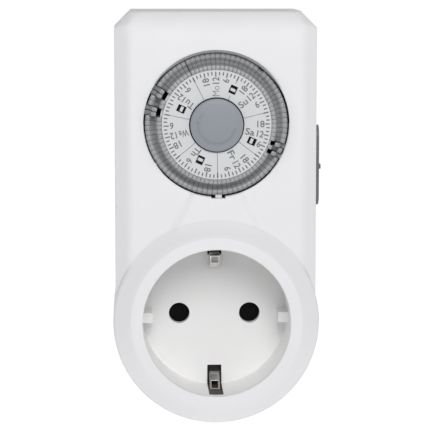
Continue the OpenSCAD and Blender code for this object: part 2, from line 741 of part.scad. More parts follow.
module dial_pinion() color("silver") {
    translate([arbor_a[0], 0, arbor_a[1]]) slab(pinion_v, carrier_v + dial_wheel_t)
        gear(pinion_teeth, dial_m, arbor_angle + 180 + 180 / pinion_teeth);
    rod(base_plate_v + 0.3, pinion_v + eps, arbor_r, arbor_a);
    rod(layer(4)[0] + 0.75, layer(4)[0] + 1.15, 1.6, arbor_a);
}

module clutch_spring() color("silver")
    tube(layer(3)[1] + 0.52, layer(4)[0] + 0.73, 2.4, arbor_r + run, arbor_a);

// ---- motor ----

rotor_v = [motor_v + 1.6, base_plate_v - 1.4];

module motor_rotor() color("dimgray") {
    tube(rotor_v[0], rotor_v[1], 4.4, arbor_r - eps, motor_c);
    rod(motor_v + 0.9, layer(0)[1] + 0.1, arbor_r, motor_c);
    translate([motor_c[0], 0, motor_c[1]]) slab(layer(0)[0], layer(0)[1]) gear(pinion_teeth, train_m, 0);
}

module motor_cup() color("silver") difference() {
    rod(motor_v, base_plate_v - 0.95, motor_r, motor_c);
    rod(motor_v + 0.8, base_plate_v, motor_r - 0.8, motor_c);
    rod(motor_v - 1, motor_v + 2, arbor_r + run, motor_c);
    block(
        [motor_c[0] - 1.6, motor_c[0] + 1.6], [motor_c[1] - motor_r - 1, motor_c[1] - motor_r + 2],
        [base_plate_v - 4, base_plate_v]
    );
}

module motor_bobbin() color("black") difference() {
    rod(motor_v + 1, base_plate_v - 1.1, motor_r - 1.1, motor_c);
    rod(motor_v, base_plate_v, 5, motor_c);
    tube(motor_v + 1.8, base_plate_v - 1.9, motor_r, 5.8, motor_c);
}

module motor_winding() color("chocolate") tube(motor_v + 1.85, base_plate_v - 1.95, motor_r - 1.6, 5.85, motor_c);

module motor_pole_plate() color("silver") difference() {
    rod(base_plate_v - 0.9, base_plate_v - 0.05, motor_r, motor_c);
    rod(base_plate_v - 2, base_plate_v + 1, 1.6, motor_c);
}

// A lead along straight runs with round elbows.
module lead(points, r) for (i = [0:len(points) - 2])
    hull() for (p = [points[i], points[i + 1]]) translate(p) sphere(r = r, $fn = 10);

module motor_leads() color("firebrick") {
    r = 0.45;
    y = -(motor_v + 2);
    exit_y = -(base_plate_v - 2.6);
    exit_z = motor_c[1] - motor_r;
    x = [motor_c[0] - 0.7, motor_c[0] + 0.7];
    lead([
        [x[0], exit_y, exit_z + 0.6], [x[0], exit_y, exit_z - 2], [-12.2, y, 44], [-12.2, y - 1.9, 29.2]
    ], r);
    lead([
        [x[1], exit_y, exit_z + 0.6], [x[1], exit_y, exit_z - 2], [4.2, y, 44], [4.2, y, 12],
        [pin_x - 3, -(bar_v[1] + 3), 7], [pin_x - 1, -(bar_v[1] + 0.5), 4.2]
    ], r);
}

// ---- switch ----

// The nose rides on the tappets that are pushed out, and the toe presses the microswitch.
module cam_lever() color("dimgray") difference() {
    union() {
        hull() {
            rod(lever_v, lever_v + 2, 1.9, lever_pivot, $fn = 32);
            rod(lever_v, lever_v + 2, 1, lever_nose, $fn = 32);
        }
        hull() {
            rod(lever_v, lever_v + 2, 1.9, lever_pivot, $fn = 32);
            rod(lever_v, lever_v + 2, lever_toe_r, lever_toe, $fn = 32);
        }
        rod(case_v[0] + 3, lever_v + eps, lever_toe_r, lever_toe);
    }
    rod(lever_v - 1, lever_v + 3, 1 + run, lever_pivot);
}

module lever_pivot_pin() color("silver") {
    rod(lever_v - 1, lever_v + 2.4, 1, lever_pivot);
    rod(back_v + wall, lever_v - 0.4, 1.8, lever_pivot);
}

// Leaf behind the lever's nose arm, with its foot in a slit of the front cover.
module lever_spring() color("silver") {
    x = lever_nose[0] + 3.2;
    block([x, x + 0.3], [lever_pivot[1], lever_nose[1] + 1], [lever_v + 0.4, lever_v + 1.6]);
    block([x, x + 2.6], [lever_pivot[1] - 0.3, lever_pivot[1]], [lever_v + 0.4, inner_v + 0.3]);
}

module switch_case() color([0.12, 0.12, 0.13]) difference() {
    block(case_x, case_z, [case_v[0], case_v[1] - 0.8]);
    block([case_x[0] + 0.8, case_x[1] - 0.8], [case_z[0] + 0.8, case_z[1] - 0.8], [case_v[0] + 0.8, case_v[1]]);
    // Way out for the plunger, and slits for the two bars.
    block([lever_toe[0] - 0.9, lever_toe[0] + 0.9], [case_z[1] - 2, case_z[1] + 1], [case_v[0] + 3.2, case_v[0] + 5.2]);
    block([case_x[0] - 1, case_x[0] + 1.6], [case_z[1] - 1.8, case_z[1] - 0.8], [case_v[0] - 1, case_v[0] + 1.4]);
    block([case_x[1] - 1.5, case_x[1] - 0.3], [case_z[0] + 0.1, case_z[0] + 1.3], [case_v[0] - 1, case_v[0] + 1.4]);
}

module switch_case_lid() color([0.12, 0.12, 0.13]) block(case_x, case_z, [case_v[1] - 0.8 + eps, case_v[1]]);

plunger_z = [case_z[1] - 1.6, lever_toe[1] - lever_toe_r - run];

module switch_plunger() color("white")
    block([lever_toe[0] - 0.7, lever_toe[0] + 0.7], plunger_z, [case_v[0] + 3.35, case_v[0] + 5.05]);

// Sprung blade: a foot on the feed bar and an arm under the plunger that carries the moving contact.
module switch_blade() color("goldenrod") {
    x = case_x[0] + 1;
    z = plunger_z[0] - 0.6;
    block([x, x + 0.4], [z, case_z[1] - 0.95], [case_v[0] + 1.25, case_v[0] + 4.6]);
    block([x, lever_toe[0] + 0.6], [z, z + 0.4], [case_v[0] + 3.4, case_v[0] + 4.9]);
}

module switch_fixed_contact() color("silver") {
    z = case_z[0] + 0.85;
    block([case_x[1] - 3.6, case_x[1] - 0.9], [z, z + 0.4], [case_v[0] + 1.25, case_v[0] + 4.9]);
    translate([lever_toe[0] - 0.4, -(case_v[0] + 4.1), z + 0.35])
        cylinder(h = plunger_z[0] - 0.6 - z - 0.35 - run, r = 0.7, $fn = 24);
}

// Grey slider on the right side: a plate outside, a stem through the slot and a foot inside.
module side_switch() color("dimgray") {
    x = [half_w + 0.08, half_w + 1.15];
    v = [part_v + 4.4, part_v + 10.6];
    mid_v = (v[0] + v[1]) / 2;
    cap_r = (v[1] - v[0]) / 2;
    translate([x[0], 0, 0]) rotate([90, 0, 90]) linear_extrude(x[1] - x[0]) hull()
        for (s = [-1, 1]) translate([-mid_v, switch_z + s * (switch_l / 2 - cap_r)]) circle(r = cap_r);
    block([x[1] - eps, x[1] + 0.5], [switch_z - 0.9, switch_z + 0.3], [v[0] + 0.8, v[1] - 0.8]);
    block([half_w - wall - 0.3, x[0] + eps], [switch_z - 1.8, switch_z + 1.8], [mid_v - 1.6, mid_v + 1.6]);
    block([half_w - wall - 1.3, half_w - wall - 0.15], [switch_z - 4.6, switch_z + 4.6], [mid_v - 2.6, mid_v + 2.6]);
}

module detent_spring() color("silver") {
    x = half_w - wall - 2.2;
    block([x, x + 0.4], [switch_z - 3, switch_z + 9], [part_v + 6, part_v + 9]);
}

front_cover();
rear_cover();
plug_body();
opening_guard();
socket_insert();
shutter();
shutter_spring();
contact_carrier();
earth_bracket();
earth_pin_sleeve();
live_contact();
neutral_contact();
live_pin();
neutral_pin();
live_feed_bar();
live_switched_bar();
neutral_bar();
dial_wheel();
printed_disc();
centre_knob();
dial_clip();
tappets_in();
tappet_right_low();
tappet_right_high();
tappet_left_1();
tappet_left_2();
tappet_left_3();
tappet_left_4();
dial_post();
front_plate();
base_plate();
plate_pillars();
fixed_arbor();
dial_pinion();
clutch_spring();
train_wheel_1();
train_wheel_2();
train_wheel_3();
train_wheel_4();
motor_rotor();
motor_cup();
motor_bobbin();
motor_winding();
motor_pole_plate();
motor_leads();
cam_lever();
lever_pivot_pin();
lever_spring();
switch_plunger();
switch_case();
switch_case_lid();
switch_blade();
switch_fixed_contact();
side_switch();
detent_spring();
housing_screws();
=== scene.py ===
"""How the plug in timer switch looks: shells, socket, dial and movement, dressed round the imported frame."""

import logging
import math
from dataclasses import dataclass, field
from enum import Enum
from typing import Callable, Mapping, Sequence, TypeAlias

import bmesh
import bpy
import numpy as np
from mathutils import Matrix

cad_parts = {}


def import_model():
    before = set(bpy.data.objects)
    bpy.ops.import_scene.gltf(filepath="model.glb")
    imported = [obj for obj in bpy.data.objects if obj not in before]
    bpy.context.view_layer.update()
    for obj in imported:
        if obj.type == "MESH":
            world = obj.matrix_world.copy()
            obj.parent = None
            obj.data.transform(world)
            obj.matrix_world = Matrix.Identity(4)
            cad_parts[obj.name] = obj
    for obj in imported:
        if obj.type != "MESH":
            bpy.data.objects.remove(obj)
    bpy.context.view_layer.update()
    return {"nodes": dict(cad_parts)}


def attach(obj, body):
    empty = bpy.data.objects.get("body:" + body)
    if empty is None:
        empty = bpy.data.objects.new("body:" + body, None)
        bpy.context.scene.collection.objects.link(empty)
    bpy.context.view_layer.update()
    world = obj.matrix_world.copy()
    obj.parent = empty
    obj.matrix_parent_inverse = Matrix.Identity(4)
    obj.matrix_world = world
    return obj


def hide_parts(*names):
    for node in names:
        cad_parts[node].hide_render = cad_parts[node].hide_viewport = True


log = logging.getLogger("timer_switch")

MM = 0.001
Value: TypeAlias = "Expr | float"
Colour: TypeAlias = tuple[float, float, float]
Range: TypeAlias = tuple[float, float]
Pair: TypeAlias = tuple[float, float]
Section: TypeAlias = list[bmesh.types.BMVert]
DIAL_Z = 52.2


def point(x: float, v: float, z: float) -> tuple[float, float, float]:
    """Millimetres right, in front of the plug's end face and up, as metres in the frame."""
    return (x * MM, -v * MM, z * MM)


# ---- node trees ----


@dataclass(frozen=True)
class Expr:
    """A node's output that takes part in Python arithmetic."""

    graph: "Graph"
    socket: bpy.types.NodeSocket

    def __add__(self, other: Value) -> "Expr":
        """Sum."""
        return self.graph.math("ADD", self, other)

    def __sub__(self, other: Value) -> "Expr":
        """Difference."""
        return self.graph.math("SUBTRACT", self, other)

    def __rsub__(self, other: Value) -> "Expr":
        """Difference from a number."""
        return self.graph.math("SUBTRACT", other, self)

    def __mul__(self, other: Value) -> "Expr":
        """Product."""
        return self.graph.math("MULTIPLY", self, other)

    def __truediv__(self, other: Value) -> "Expr":
        """Quotient."""
        return self.graph.math("DIVIDE", self, other)

    def __lt__(self, other: Value) -> "Expr":
        """One where this is less, else zero."""
        return self.graph.math("LESS_THAN", self, other)

    def __gt__(self, other: Value) -> "Expr":
        """One where this is greater, else zero."""
        return self.graph.math("GREATER_THAN", self, other)

    __radd__ = __add__
    __rmul__ = __mul__


class Graph:
    """A shader or geometry node tree that is written as expressions."""

    def __init__(self, tree: bpy.types.NodeTree) -> None:
        """Takes the tree that the nodes go into.

        Args:
            tree: An empty node tree.
        """
        self.tree = tree

    def add(self, kind: str, settings: Mapping[str, object] | None = None,
            inputs: Mapping[int | str, object] | None = None) -> bpy.types.Node:
        """Makes one node.

        Args:
            kind: The node's type.
            settings: What is set on the node before its sockets; "stops" are a ramp's positions and colours.
            inputs: Values or links of its sockets, by name or index.

        Returns:
            The node.
        """
        node = self.tree.nodes.new(kind)
        for key, value in (settings or {}).items():
            if key == "stops":
                self._set_stops(node.color_ramp, value)
            else:
                setattr(node, key, value)
        for key, value in (inputs or {}).items():
            socket = node.inputs[key]
            if isinstance(value, Expr):
                self.tree.links.new(value.socket, socket)
            elif isinstance(value, bpy.types.NodeSocket):
                self.tree.links.new(value, socket)
            else:
                socket.default_value = value
        return node

    @staticmethod
    def _set_stops(ramp: bpy.types.ColorRamp, stops: Sequence[tuple[float, Sequence[float]]]) -> None:
        """Sets a ramp's stops.

        Args:
            ramp: The ramp.
            stops: Its positions and colours, from low to high.
        """
        while len(ramp.elements) > len(stops):
            ramp.elements.remove(ramp.elements[-1])
        while len(ramp.elements) < len(stops):
            ramp.elements.new(1.0)
        for element, (position, colour) in zip(ramp.elements, stops):
            element.position = position
            element.color = (*colour, 1.0)

    def out(self, kind: str, settings: Mapping[str, object] | None = None,
            inputs: Mapping[int | str, object] | None = None, output: int | str = 0) -> Expr:
        """Makes one node and returns one of its outputs.

        Args:
            kind: The node's type.
            settings: What is set on the node first.
            inputs: Values or links of its sockets.
            output: The output's name or index.

        Returns:
            The output.
        """
        return Expr(self, self.add(kind, settings, inputs).outputs[output])

    def math(self, operation: str, *values: Value) -> Expr:
        """One Math node.

        Args:
            operation: The node's operation.
            values: Its operands.

        Returns:
            The result.
        """
        return self.out("ShaderNodeMath", {"operation": operation}, dict(enumerate(values)))

    def clamp(self, value: Expr) -> Expr:
        """The value kept between 0 and 1."""
        return self.math("MINIMUM", self.math("MAXIMUM", value, 0.0), 1.0)

    def seen(self) -> Expr:
        """Tells the rays that show a background from the others: camera, glossy and transmission rays.

        Returns:
            One for those rays, else zero.
        """
        path = self.add("ShaderNodeLightPath")
        camera, glossy, through = (Expr(self, path.outputs[f"Is {kind} Ray"])
                                   for kind in ("Camera", "Glossy", "Transmission"))
        return self.math("MAXIMUM", camera, self.math("MAXIMUM", glossy, through))


def set_inputs(maker: bpy.types.Modifier, values: Mapping[str, object]) -> None:
    """Sets a Geometry Nodes modifier's inputs by the identifiers of their sockets.

    Args:
        maker: The modifier, with its tree.
        values: The values by the inputs' names.
    """
    for item in maker.node_group.interface.items_tree:
        if item.in_out == "INPUT" and item.name in values:
            maker[item.identifier] = values[item.name]


class Dye(Graph):
    """A material's node tree, with the patterns that the finishes share."""

    def __init__(self, name: str) -> None:
        """Starts a material.

        Args:
            name: The material's name.
        """
        self.material = bpy.data.materials.new(f"{name}_look")
        self.material.use_nodes = True
        self.material.node_tree.nodes.clear()
        super().__init__(self.material.node_tree)
        self.place = self.out("ShaderNodeTexCoord", output="Object")

    def noise(self, size_mm: float, detail: float = 2.0, stretch: Sequence[float] = (1, 1, 1)) -> Expr:
        """Noise from 0 to 1.

        Args:
            size_mm: Size of its features.
            detail: Octaves.
            stretch: Factors along the three axes.

        Returns:
            The noise.
        """
        place = self.place
        if tuple(stretch) != (1, 1, 1):
            place = self.out("ShaderNodeMapping", None, {"Vector": place, "Scale": tuple(stretch)})
        return self.out("ShaderNodeTexNoise", None, {
            "Vector": place, "Scale": 1 / (size_mm * MM), "Detail": detail,
        })

    def blend(self, factor: Value, low: object, high: object) -> Expr:
        """Mixes two colours.

        Args:
            factor: Share of the second colour.
            low: The first colour.
            high: The second colour.

        Returns:
            The mixed colour.
        """
        def colour(value: object) -> object:
            """A colour with its alpha, or a link."""
            return value if isinstance(value, Expr) else (*value, 1.0)
        inputs = {0: factor, 6: colour(low), 7: colour(high)}
        return self.out("ShaderNodeMix", {"data_type": "RGBA"}, inputs, 2)

    def axis(self, index: int) -> Expr:
        """One coordinate in millimetres: 0 to the right, 1 to the back, 2 up."""
        return Expr(self, self.add("ShaderNodeSeparateXYZ", None, {0: self.place}).outputs[index]) * (1 / MM)

    def radius(self, z: float) -> Expr:
        """Distance in millimetres from an axis along the depth, at a height over the origin."""
        across, up = self.axis(0), self.axis(2) - z
        return self.math("SQRT", across * across + up * up)

    def rise(self, low: float, high: float) -> Expr:
        """A share that grows from 0 to 1 between two heights in millimetres."""
        return self.clamp((self.axis(2) - low) / (high - low))

    def surface(self, **inputs: object) -> bpy.types.Material:
        """Ends the tree in a principled shader.

        Args:
            inputs: The shader's sockets, with _ for a space.

        Returns:
            The material.
        """
        named = {key.replace("_", " "): value for key, value in inputs.items()}
        shader = self.add("ShaderNodeBsdfPrincipled", None, named)
        self.add("ShaderNodeOutputMaterial", None, {0: shader.outputs[0]})
        return self.material

    def bump(self, height: Expr, depth_mm: float) -> Expr:
        """A normal from a height.

        Args:
            height: The height, from 0 to 1.
            depth_mm: What 1 means in millimetres.

        Returns:
            The normal.
        """
        return self.out("ShaderNodeBump", None, {
            "Strength": 1.0, "Distance": depth_mm * MM, "Height": height,
        })


# ---- finishes ----


def darker(colour: Sequence[float], by: float) -> tuple[float, ...]:
    """A colour made darker by a share."""
    return tuple(c * (1 - by) for c in colour)


@dataclass(frozen=True)
class PaintedShade:
    """Painted shade on a moulded colour: darker between two limits in millimetres, by a share."""

    low: float
    high: float
    by: float


@dataclass(frozen=True)
class MouldedPlastic:
    """Moulded plastic: faint flow clouds, a fine grain from the tool, and a roughness that follows both.

    A ring of painted shade lies about the socket's axis, in its upper half. Painted shade that sets in with
    the height darkens the top.
    """

    name: str
    colour: Colour
    roughness: float = 0.38
    clouds: float = 0.03
    grain_mm: float = 0.22
    grain_depth_mm: float = 0.006
    specular: float = 0.5
    painted_shade_ring: PaintedShade | None = None
    painted_shade_top: PaintedShade | None = None
    ring_heights: Range = (-14.0, 0.0)

    def build(self) -> bpy.types.Material:
        """Makes the material.

        Returns:
            The material.
        """
        dye = Dye(self.name)
        broad = dye.noise(9.0, 3.0)
        fine = dye.noise(self.grain_mm, 2.0)
        colour = dye.blend(broad, self.colour, darker(self.colour, self.clouds))
        # Painted shade: the colour is darker inside the ring about the socket's axis, fully above the axis
        # and fading out below it.
        if self.painted_shade_ring:
            r = dye.radius(0.0)
            inside = (r > self.painted_shade_ring.low) * (r < self.painted_shade_ring.high)
            share = inside * dye.rise(*self.ring_heights)
            colour = dye.blend(share, colour, darker(self.colour, self.painted_shade_ring.by))
        # Painted shade: the colour grows darker with the height, between the two limits.
        if self.painted_shade_top:
            share = dye.rise(self.painted_shade_top.low, self.painted_shade_top.high)
            colour = dye.blend(share, colour, darker(self.colour, self.painted_shade_top.by))
        return dye.surface(
            Base_Color=colour,
            Roughness=broad * 0.08 + fine * 0.06 + (self.roughness - 0.07),
            Specular_IOR_Level=self.specular,
            Normal=dye.bump(fine, self.grain_depth_mm),
        )


@dataclass(frozen=True)
class SmokyPlastic:
    """Smoky plastic of the tappets, with painted light on the pads and painted shade in the saddle, by the
    distance from the dial's axis.
    """

    name: str
    axis_z: float
    first: float
    last: float
    lit_and_shaded_bands: tuple[tuple[float, Colour], ...]
    roughness: float = 0.24

    def build(self) -> bpy.types.Material:
        """Makes the material.

        Returns:
            The material.
        """
        dye = Dye(self.name)
        # Painted light and shade: the colour steps through the bands by the distance from the axis, lighter
        # on the pads and darker in the saddle.
        share = (dye.radius(self.axis_z) - self.first) / (self.last - self.first)
        lit_and_shaded_bands = dye.out("ShaderNodeValToRGB", {"stops": self.lit_and_shaded_bands}, {0: share})
        cloud = dye.noise(1.3, 3.0)
        streak = dye.noise(0.3, 2.0)
        return dye.surface(
            Base_Color=dye.blend(cloud * 0.45, lit_and_shaded_bands, (0.55, 0.56, 0.57)),
            Roughness=cloud * 0.12 + self.roughness,
            Normal=dye.bump(streak, 0.02),
        )


@dataclass(frozen=True)
class PlatedMetal:
    """Stamped and plated metal: rolling streaks, a few duller patches and a fine waviness."""

    name: str
    colour: Colour
    roughness: float = 0.22
    streaks: tuple[float, float, float] = (1, 0.12, 1)
    tarnish: float = 0.12

    def build(self) -> bpy.types.Material:
        """Makes the material.

        Returns:
            The material.
        """
        dye = Dye(self.name)
        rolled = dye.noise(0.25, 3.0, self.streaks)
        patch = dye.noise(4.0, 4.0)
        return dye.surface(
            Base_Color=dye.blend(patch, self.colour, darker(self.colour, self.tarnish * 2)),
            Metallic=1.0,
            Roughness=rolled * 0.12 + patch * 0.1 + (self.roughness - 0.1),
            Normal=dye.bump(rolled, 0.004),
        )


@dataclass(frozen=True)
class WoundWire:
    """Enamelled wire in even layers: a round for every turn, with painted shade in the creases between the
    turns.
    """

    name: str
    colour: Colour
    pitch_mm: float = 0.18

    def build(self) -> bpy.types.Material:
        """Makes the material.

        Returns:
            The material.
        """
        dye = Dye(self.name)
        # Painted shade: the colour falls to a darker copy between the turns; the same rounds also give the
        # bump.
        turns = dye.math("ABSOLUTE", dye.math("SINE", dye.axis(1) * (math.pi / self.pitch_mm)))
        patch = dye.noise(2.0, 3.0)
        return dye.surface(
            Base_Color=dye.blend(turns, darker(self.colour, 0.6), self.colour),
            Metallic=0.6,
            Roughness=patch * 0.15 + 0.25,
            Normal=dye.bump(turns, 0.06),
        )


@dataclass(frozen=True)
class PrintInk:
    """Pad print: a thin ink with an uneven cover."""

    name: str
    colour: Colour

    def build(self) -> bpy.types.Material:
        """Makes the material.

        Returns:
            The material.
        """
        dye = Dye(self.name)
        cover = dye.noise(0.15, 3.0)
        return dye.surface(
            Base_Color=dye.blend(cover, self.colour, tuple(c + 0.12 for c in self.colour)),
            Roughness=cover * 0.2 + 0.4,
        )


class Stock(Enum):
    """The finishes of this object, by the record's material slots and a few of the scene's own."""

    # Painted shade: the housing is 8 % darker on the collar's cone, in its upper half.
    HOUSING = MouldedPlastic("housing_white", (0.85, 0.85, 0.865), roughness=0.52, specular=0.3,
                             painted_shade_ring=PaintedShade(22.6, 27.3, 0.08))
    # Painted shade: the insert and plug body grow 17 % darker towards the top.
    INSERT = MouldedPlastic("insert_white", (0.95, 0.945, 0.942), roughness=0.5, specular=0.3,
                            painted_shade_top=PaintedShade(-16.0, 10.0, 0.17))
    DIAL = MouldedPlastic("dial_white", (0.66, 0.675, 0.69), roughness=0.42, grain_mm=0.3)
    # Painted light and shade: lighter on the tops of both pads, darker in the saddle between them.
    TAPPET = SmokyPlastic("smoke_grey", DIAL_Z, 14.2, 18.8, (
        (0.0, (0.27, 0.275, 0.28)), (0.24, (0.31, 0.315, 0.32)), (0.36, (0.25, 0.255, 0.26)),
        (0.60, (0.235, 0.24, 0.245)), (0.72, (0.31, 0.315, 0.32)), (1.0, (0.27, 0.275, 0.28)),
    ))
    GUARD = MouldedPlastic("guard_grey", (0.25, 0.253, 0.256), roughness=0.4)
    KNOB = MouldedPlastic("knob_grey", (0.27, 0.285, 0.32), roughness=0.46, grain_mm=0.12,
                          grain_depth_mm=0.01)
    SWITCH = MouldedPlastic("switch_grey", (0.128, 0.131, 0.132), roughness=0.44, grain_mm=0.12,
                            grain_depth_mm=0.01)
    SHUTTER = MouldedPlastic("shutter_black", (0.003, 0.003, 0.0033), roughness=0.6, specular=0.08)
    CARRIER = MouldedPlastic("carrier_black", (0.02, 0.02, 0.022), roughness=0.5)
    NICKEL = PlatedMetal("nickel", (0.72, 0.71, 0.68), roughness=0.2)
    BRASS = PlatedMetal("brass", (0.72, 0.56, 0.30), roughness=0.26)
    SPRING = PlatedMetal("spring_steel", (0.55, 0.55, 0.56), roughness=0.25)
    SCREW = PlatedMetal("screw_steel", (0.50, 0.50, 0.52), roughness=0.3, tarnish=0.2)
    ACETAL = MouldedPlastic("acetal", (0.78, 0.76, 0.70), roughness=0.5)
    WINDING = WoundWire("winding_copper", (0.45, 0.16, 0.06))
    BOBBIN = MouldedPlastic("bobbin_black", (0.03, 0.03, 0.03), roughness=0.45)
    MAGNET = MouldedPlastic("rotor_magnet", (0.08, 0.08, 0.09), roughness=0.55, grain_mm=0.1)
    LEAD = MouldedPlastic("lead_red", (0.45, 0.03, 0.03), roughness=0.5)
    LEVER = MouldedPlastic("lever_grey", (0.06, 0.06, 0.065), roughness=0.48)
    INK = PrintInk("print_grey", (0.10, 0.10, 0.11))
    # Black: the catch's own colour, and painted shade in the windows, at the ring's joint and in the rings
    # behind the knob and the tappets.
    RECESS = MouldedPlastic("recess_black", (0.012, 0.012, 0.012), roughness=0.7, specular=0.2)
    # Painted shade: dark grey fins in the gaps between the tappets, and a dark grey ring under the dial's
    # opening.
    GAP = MouldedPlastic("gap_grey", (0.10, 0.10, 0.10), roughness=0.6)
    # Painted shade: dark brown sheets and backs in the earth clips' slots.
    LINING = MouldedPlastic("slot_brown", (0.045, 0.034, 0.031), roughness=0.6)

    @property
    def material(self) -> bpy.types.Material:
        """The finish's material, made when it is first used."""
        return bpy.data.materials.get(f"{self.value.name}_look") or self.value.build()


# ---- meshes ----


def link(name: str, mesh: bpy.types.Mesh) -> bpy.types.Object:
    """Puts a mesh into the scene as an object at the origin.

    Args:
        name: The object's name.
        mesh: Its mesh.

    Returns:
        The object.
    """
    obj = bpy.data.objects.new(name, mesh)
    bpy.context.scene.collection.objects.link(obj)
    return obj


def made(shape: bmesh.types.BMesh, name: str, turn_out: bool = True) -> bpy.types.Object:
    """Makes an object of a finished shape.

    Args:
        shape: The shape, which is freed.
        name: The object's name.
        turn_out: Whether its faces are turned outwards first.

    Returns:
        The object.
    """
    if turn_out:
        bmesh.ops.recalc_face_normals(shape, faces=shape.faces)
    mesh = bpy.data.meshes.new(name)
    shape.to_mesh(mesh)
    shape.free()
    return link(name, mesh)


def loft(shape: bmesh.types.BMesh, rows: Sequence[Section], round_trip: bool = False) -> None:
    """Joins closed sections with faces.

    Args:
        shape: The mesh that grows.
        rows: The sections' vertices.
        round_trip: Whether the last section joins the first, instead of a cap on each end.
    """
    count = len(rows[0])
    for low, high in zip(rows, [*rows[1:], rows[0]] if round_trip else rows[1:]):
        for a in range(count):
            b = (a + 1) % count
            shape.faces.new((low[a], low[b], high[b], high[a]))
    if not round_trip:
        shape.faces.new(rows[0][::-1])
        shape.faces.new(rows[-1])


def settle(obj: bpy.types.Object) -> bpy.types.Object:
    """Turns an object with modifiers, or a text or curve, into a plain mesh object of the same name.

    Args:
        obj: The object, which is removed.

    Returns:
        The plain object.
    """
    bpy.context.view_layer.update()
    shape = obj.evaluated_get(bpy.context.evaluated_depsgraph_get())
    mesh = bpy.data.meshes.new_from_object(shape)
    name = obj.name
    bpy.data.objects.remove(obj, do_unlink=True)
    mesh.name = name
    return link(name, mesh)


def dress(obj: bpy.types.Object, stock: Stock, body: str,
          replaced: Sequence[str] = ()) -> bpy.types.Object:
    """Gives a finished piece its material and its body, and hides the nodes that it stands for.

    Args:
        obj: The piece.
        stock: Its finish.
        body: The body that it rides on.
        replaced: CAD nodes that it replaces.

    Returns:
        The piece.
    """
    obj.data.materials.clear()
    obj.data.materials.append(stock.material)
    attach(obj, body)
    if replaced:
        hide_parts(*replaced)
    log.info("%s: %d faces, on %s", obj.name, len(obj.data.polygons), body)
    return obj


@dataclass
class Craft:
    """Turns plain CAD nodes into finely edged pieces."""

    nodes: Mapping[str, bpy.types.Object]
    turn: float = 28.0

    def edged(self, node: str, name: str, edge_mm: float, steps: int = 3) -> bpy.types.Object:
        """A merged copy of a node, rounded at every edge that turns by more than the set angle.

        Args:
            node: The CAD node.
            name: The copy's name.
            edge_mm: Radius of the edges.
            steps: Segments of the rounding.

        Returns:
            The copy.
        """
        shape = bmesh.new()
        shape.from_mesh(self.nodes[node].data)
        bmesh.ops.remove_doubles(shape, verts=shape.verts, dist=0.002 * MM)
        bmesh.ops.dissolve_limit(shape, angle_limit=math.radians(1), verts=shape.verts, edges=shape.edges)
        obj = made(shape, name, turn_out=False)
        obj.data.shade_smooth()
        obj.data.set_sharp_from_angle(angle=math.radians(self.turn))
        edge = obj.modifiers.new("edge", "BEVEL")
        edge.width = edge_mm * MM
        edge.segments = steps
        edge.limit_method = "ANGLE"
        edge.angle_limit = math.radians(self.turn)
        edge.use_clamp_overlap = True
        edge.harden_normals = True
        return settle(obj)


def soft_min(a: np.ndarray, b: np.ndarray | float, k: np.ndarray | float) -> np.ndarray:
    """The lesser of two heights, with the edge between them rounded over a width of k."""
    h = np.maximum(k - np.abs(a - b), 0) / k
    return np.minimum(a, b) - h * h * k / 4


def soft_max(a: np.ndarray, b: np.ndarray, k: np.ndarray | float) -> np.ndarray:
    """The greater of two heights, with the corner between them filled over a width of k."""
    return -soft_min(-a, -b, k)


# ---- front shell ----


@dataclass(frozen=True)
class Bridge:
    """The raised bridge between the dial and the collar, which widens downwards between two flanks."""

    height: float = 1.0
    start_z: float = 34.6
    zone: Range = (18.0, 36.0)
    left: Pair = (6.6, 0.535)
    right: Pair = (6.8, 0.515)
    flank: Pair = (1.2, 0.02)
    blend: float = 0.2

    def lift(self, x: np.ndarray, z: np.ndarray) -> np.ndarray:
        """The share of its height that it has at a place.

        Args:
            x: Places to the right.
            z: Heights.

        Returns:
            The share, from 0 to 1.
        """
        down = self.start_z - z
        flank = self.flank[0] + self.flank[1] * down
        left = (x + self.left[0] + self.left[1] * down) / flank
        right = (self.right[0] + self.right[1] * down - x) / flank
        return np.clip(soft_min(np.minimum(left, right), 1.0, self.blend), 0, 1)


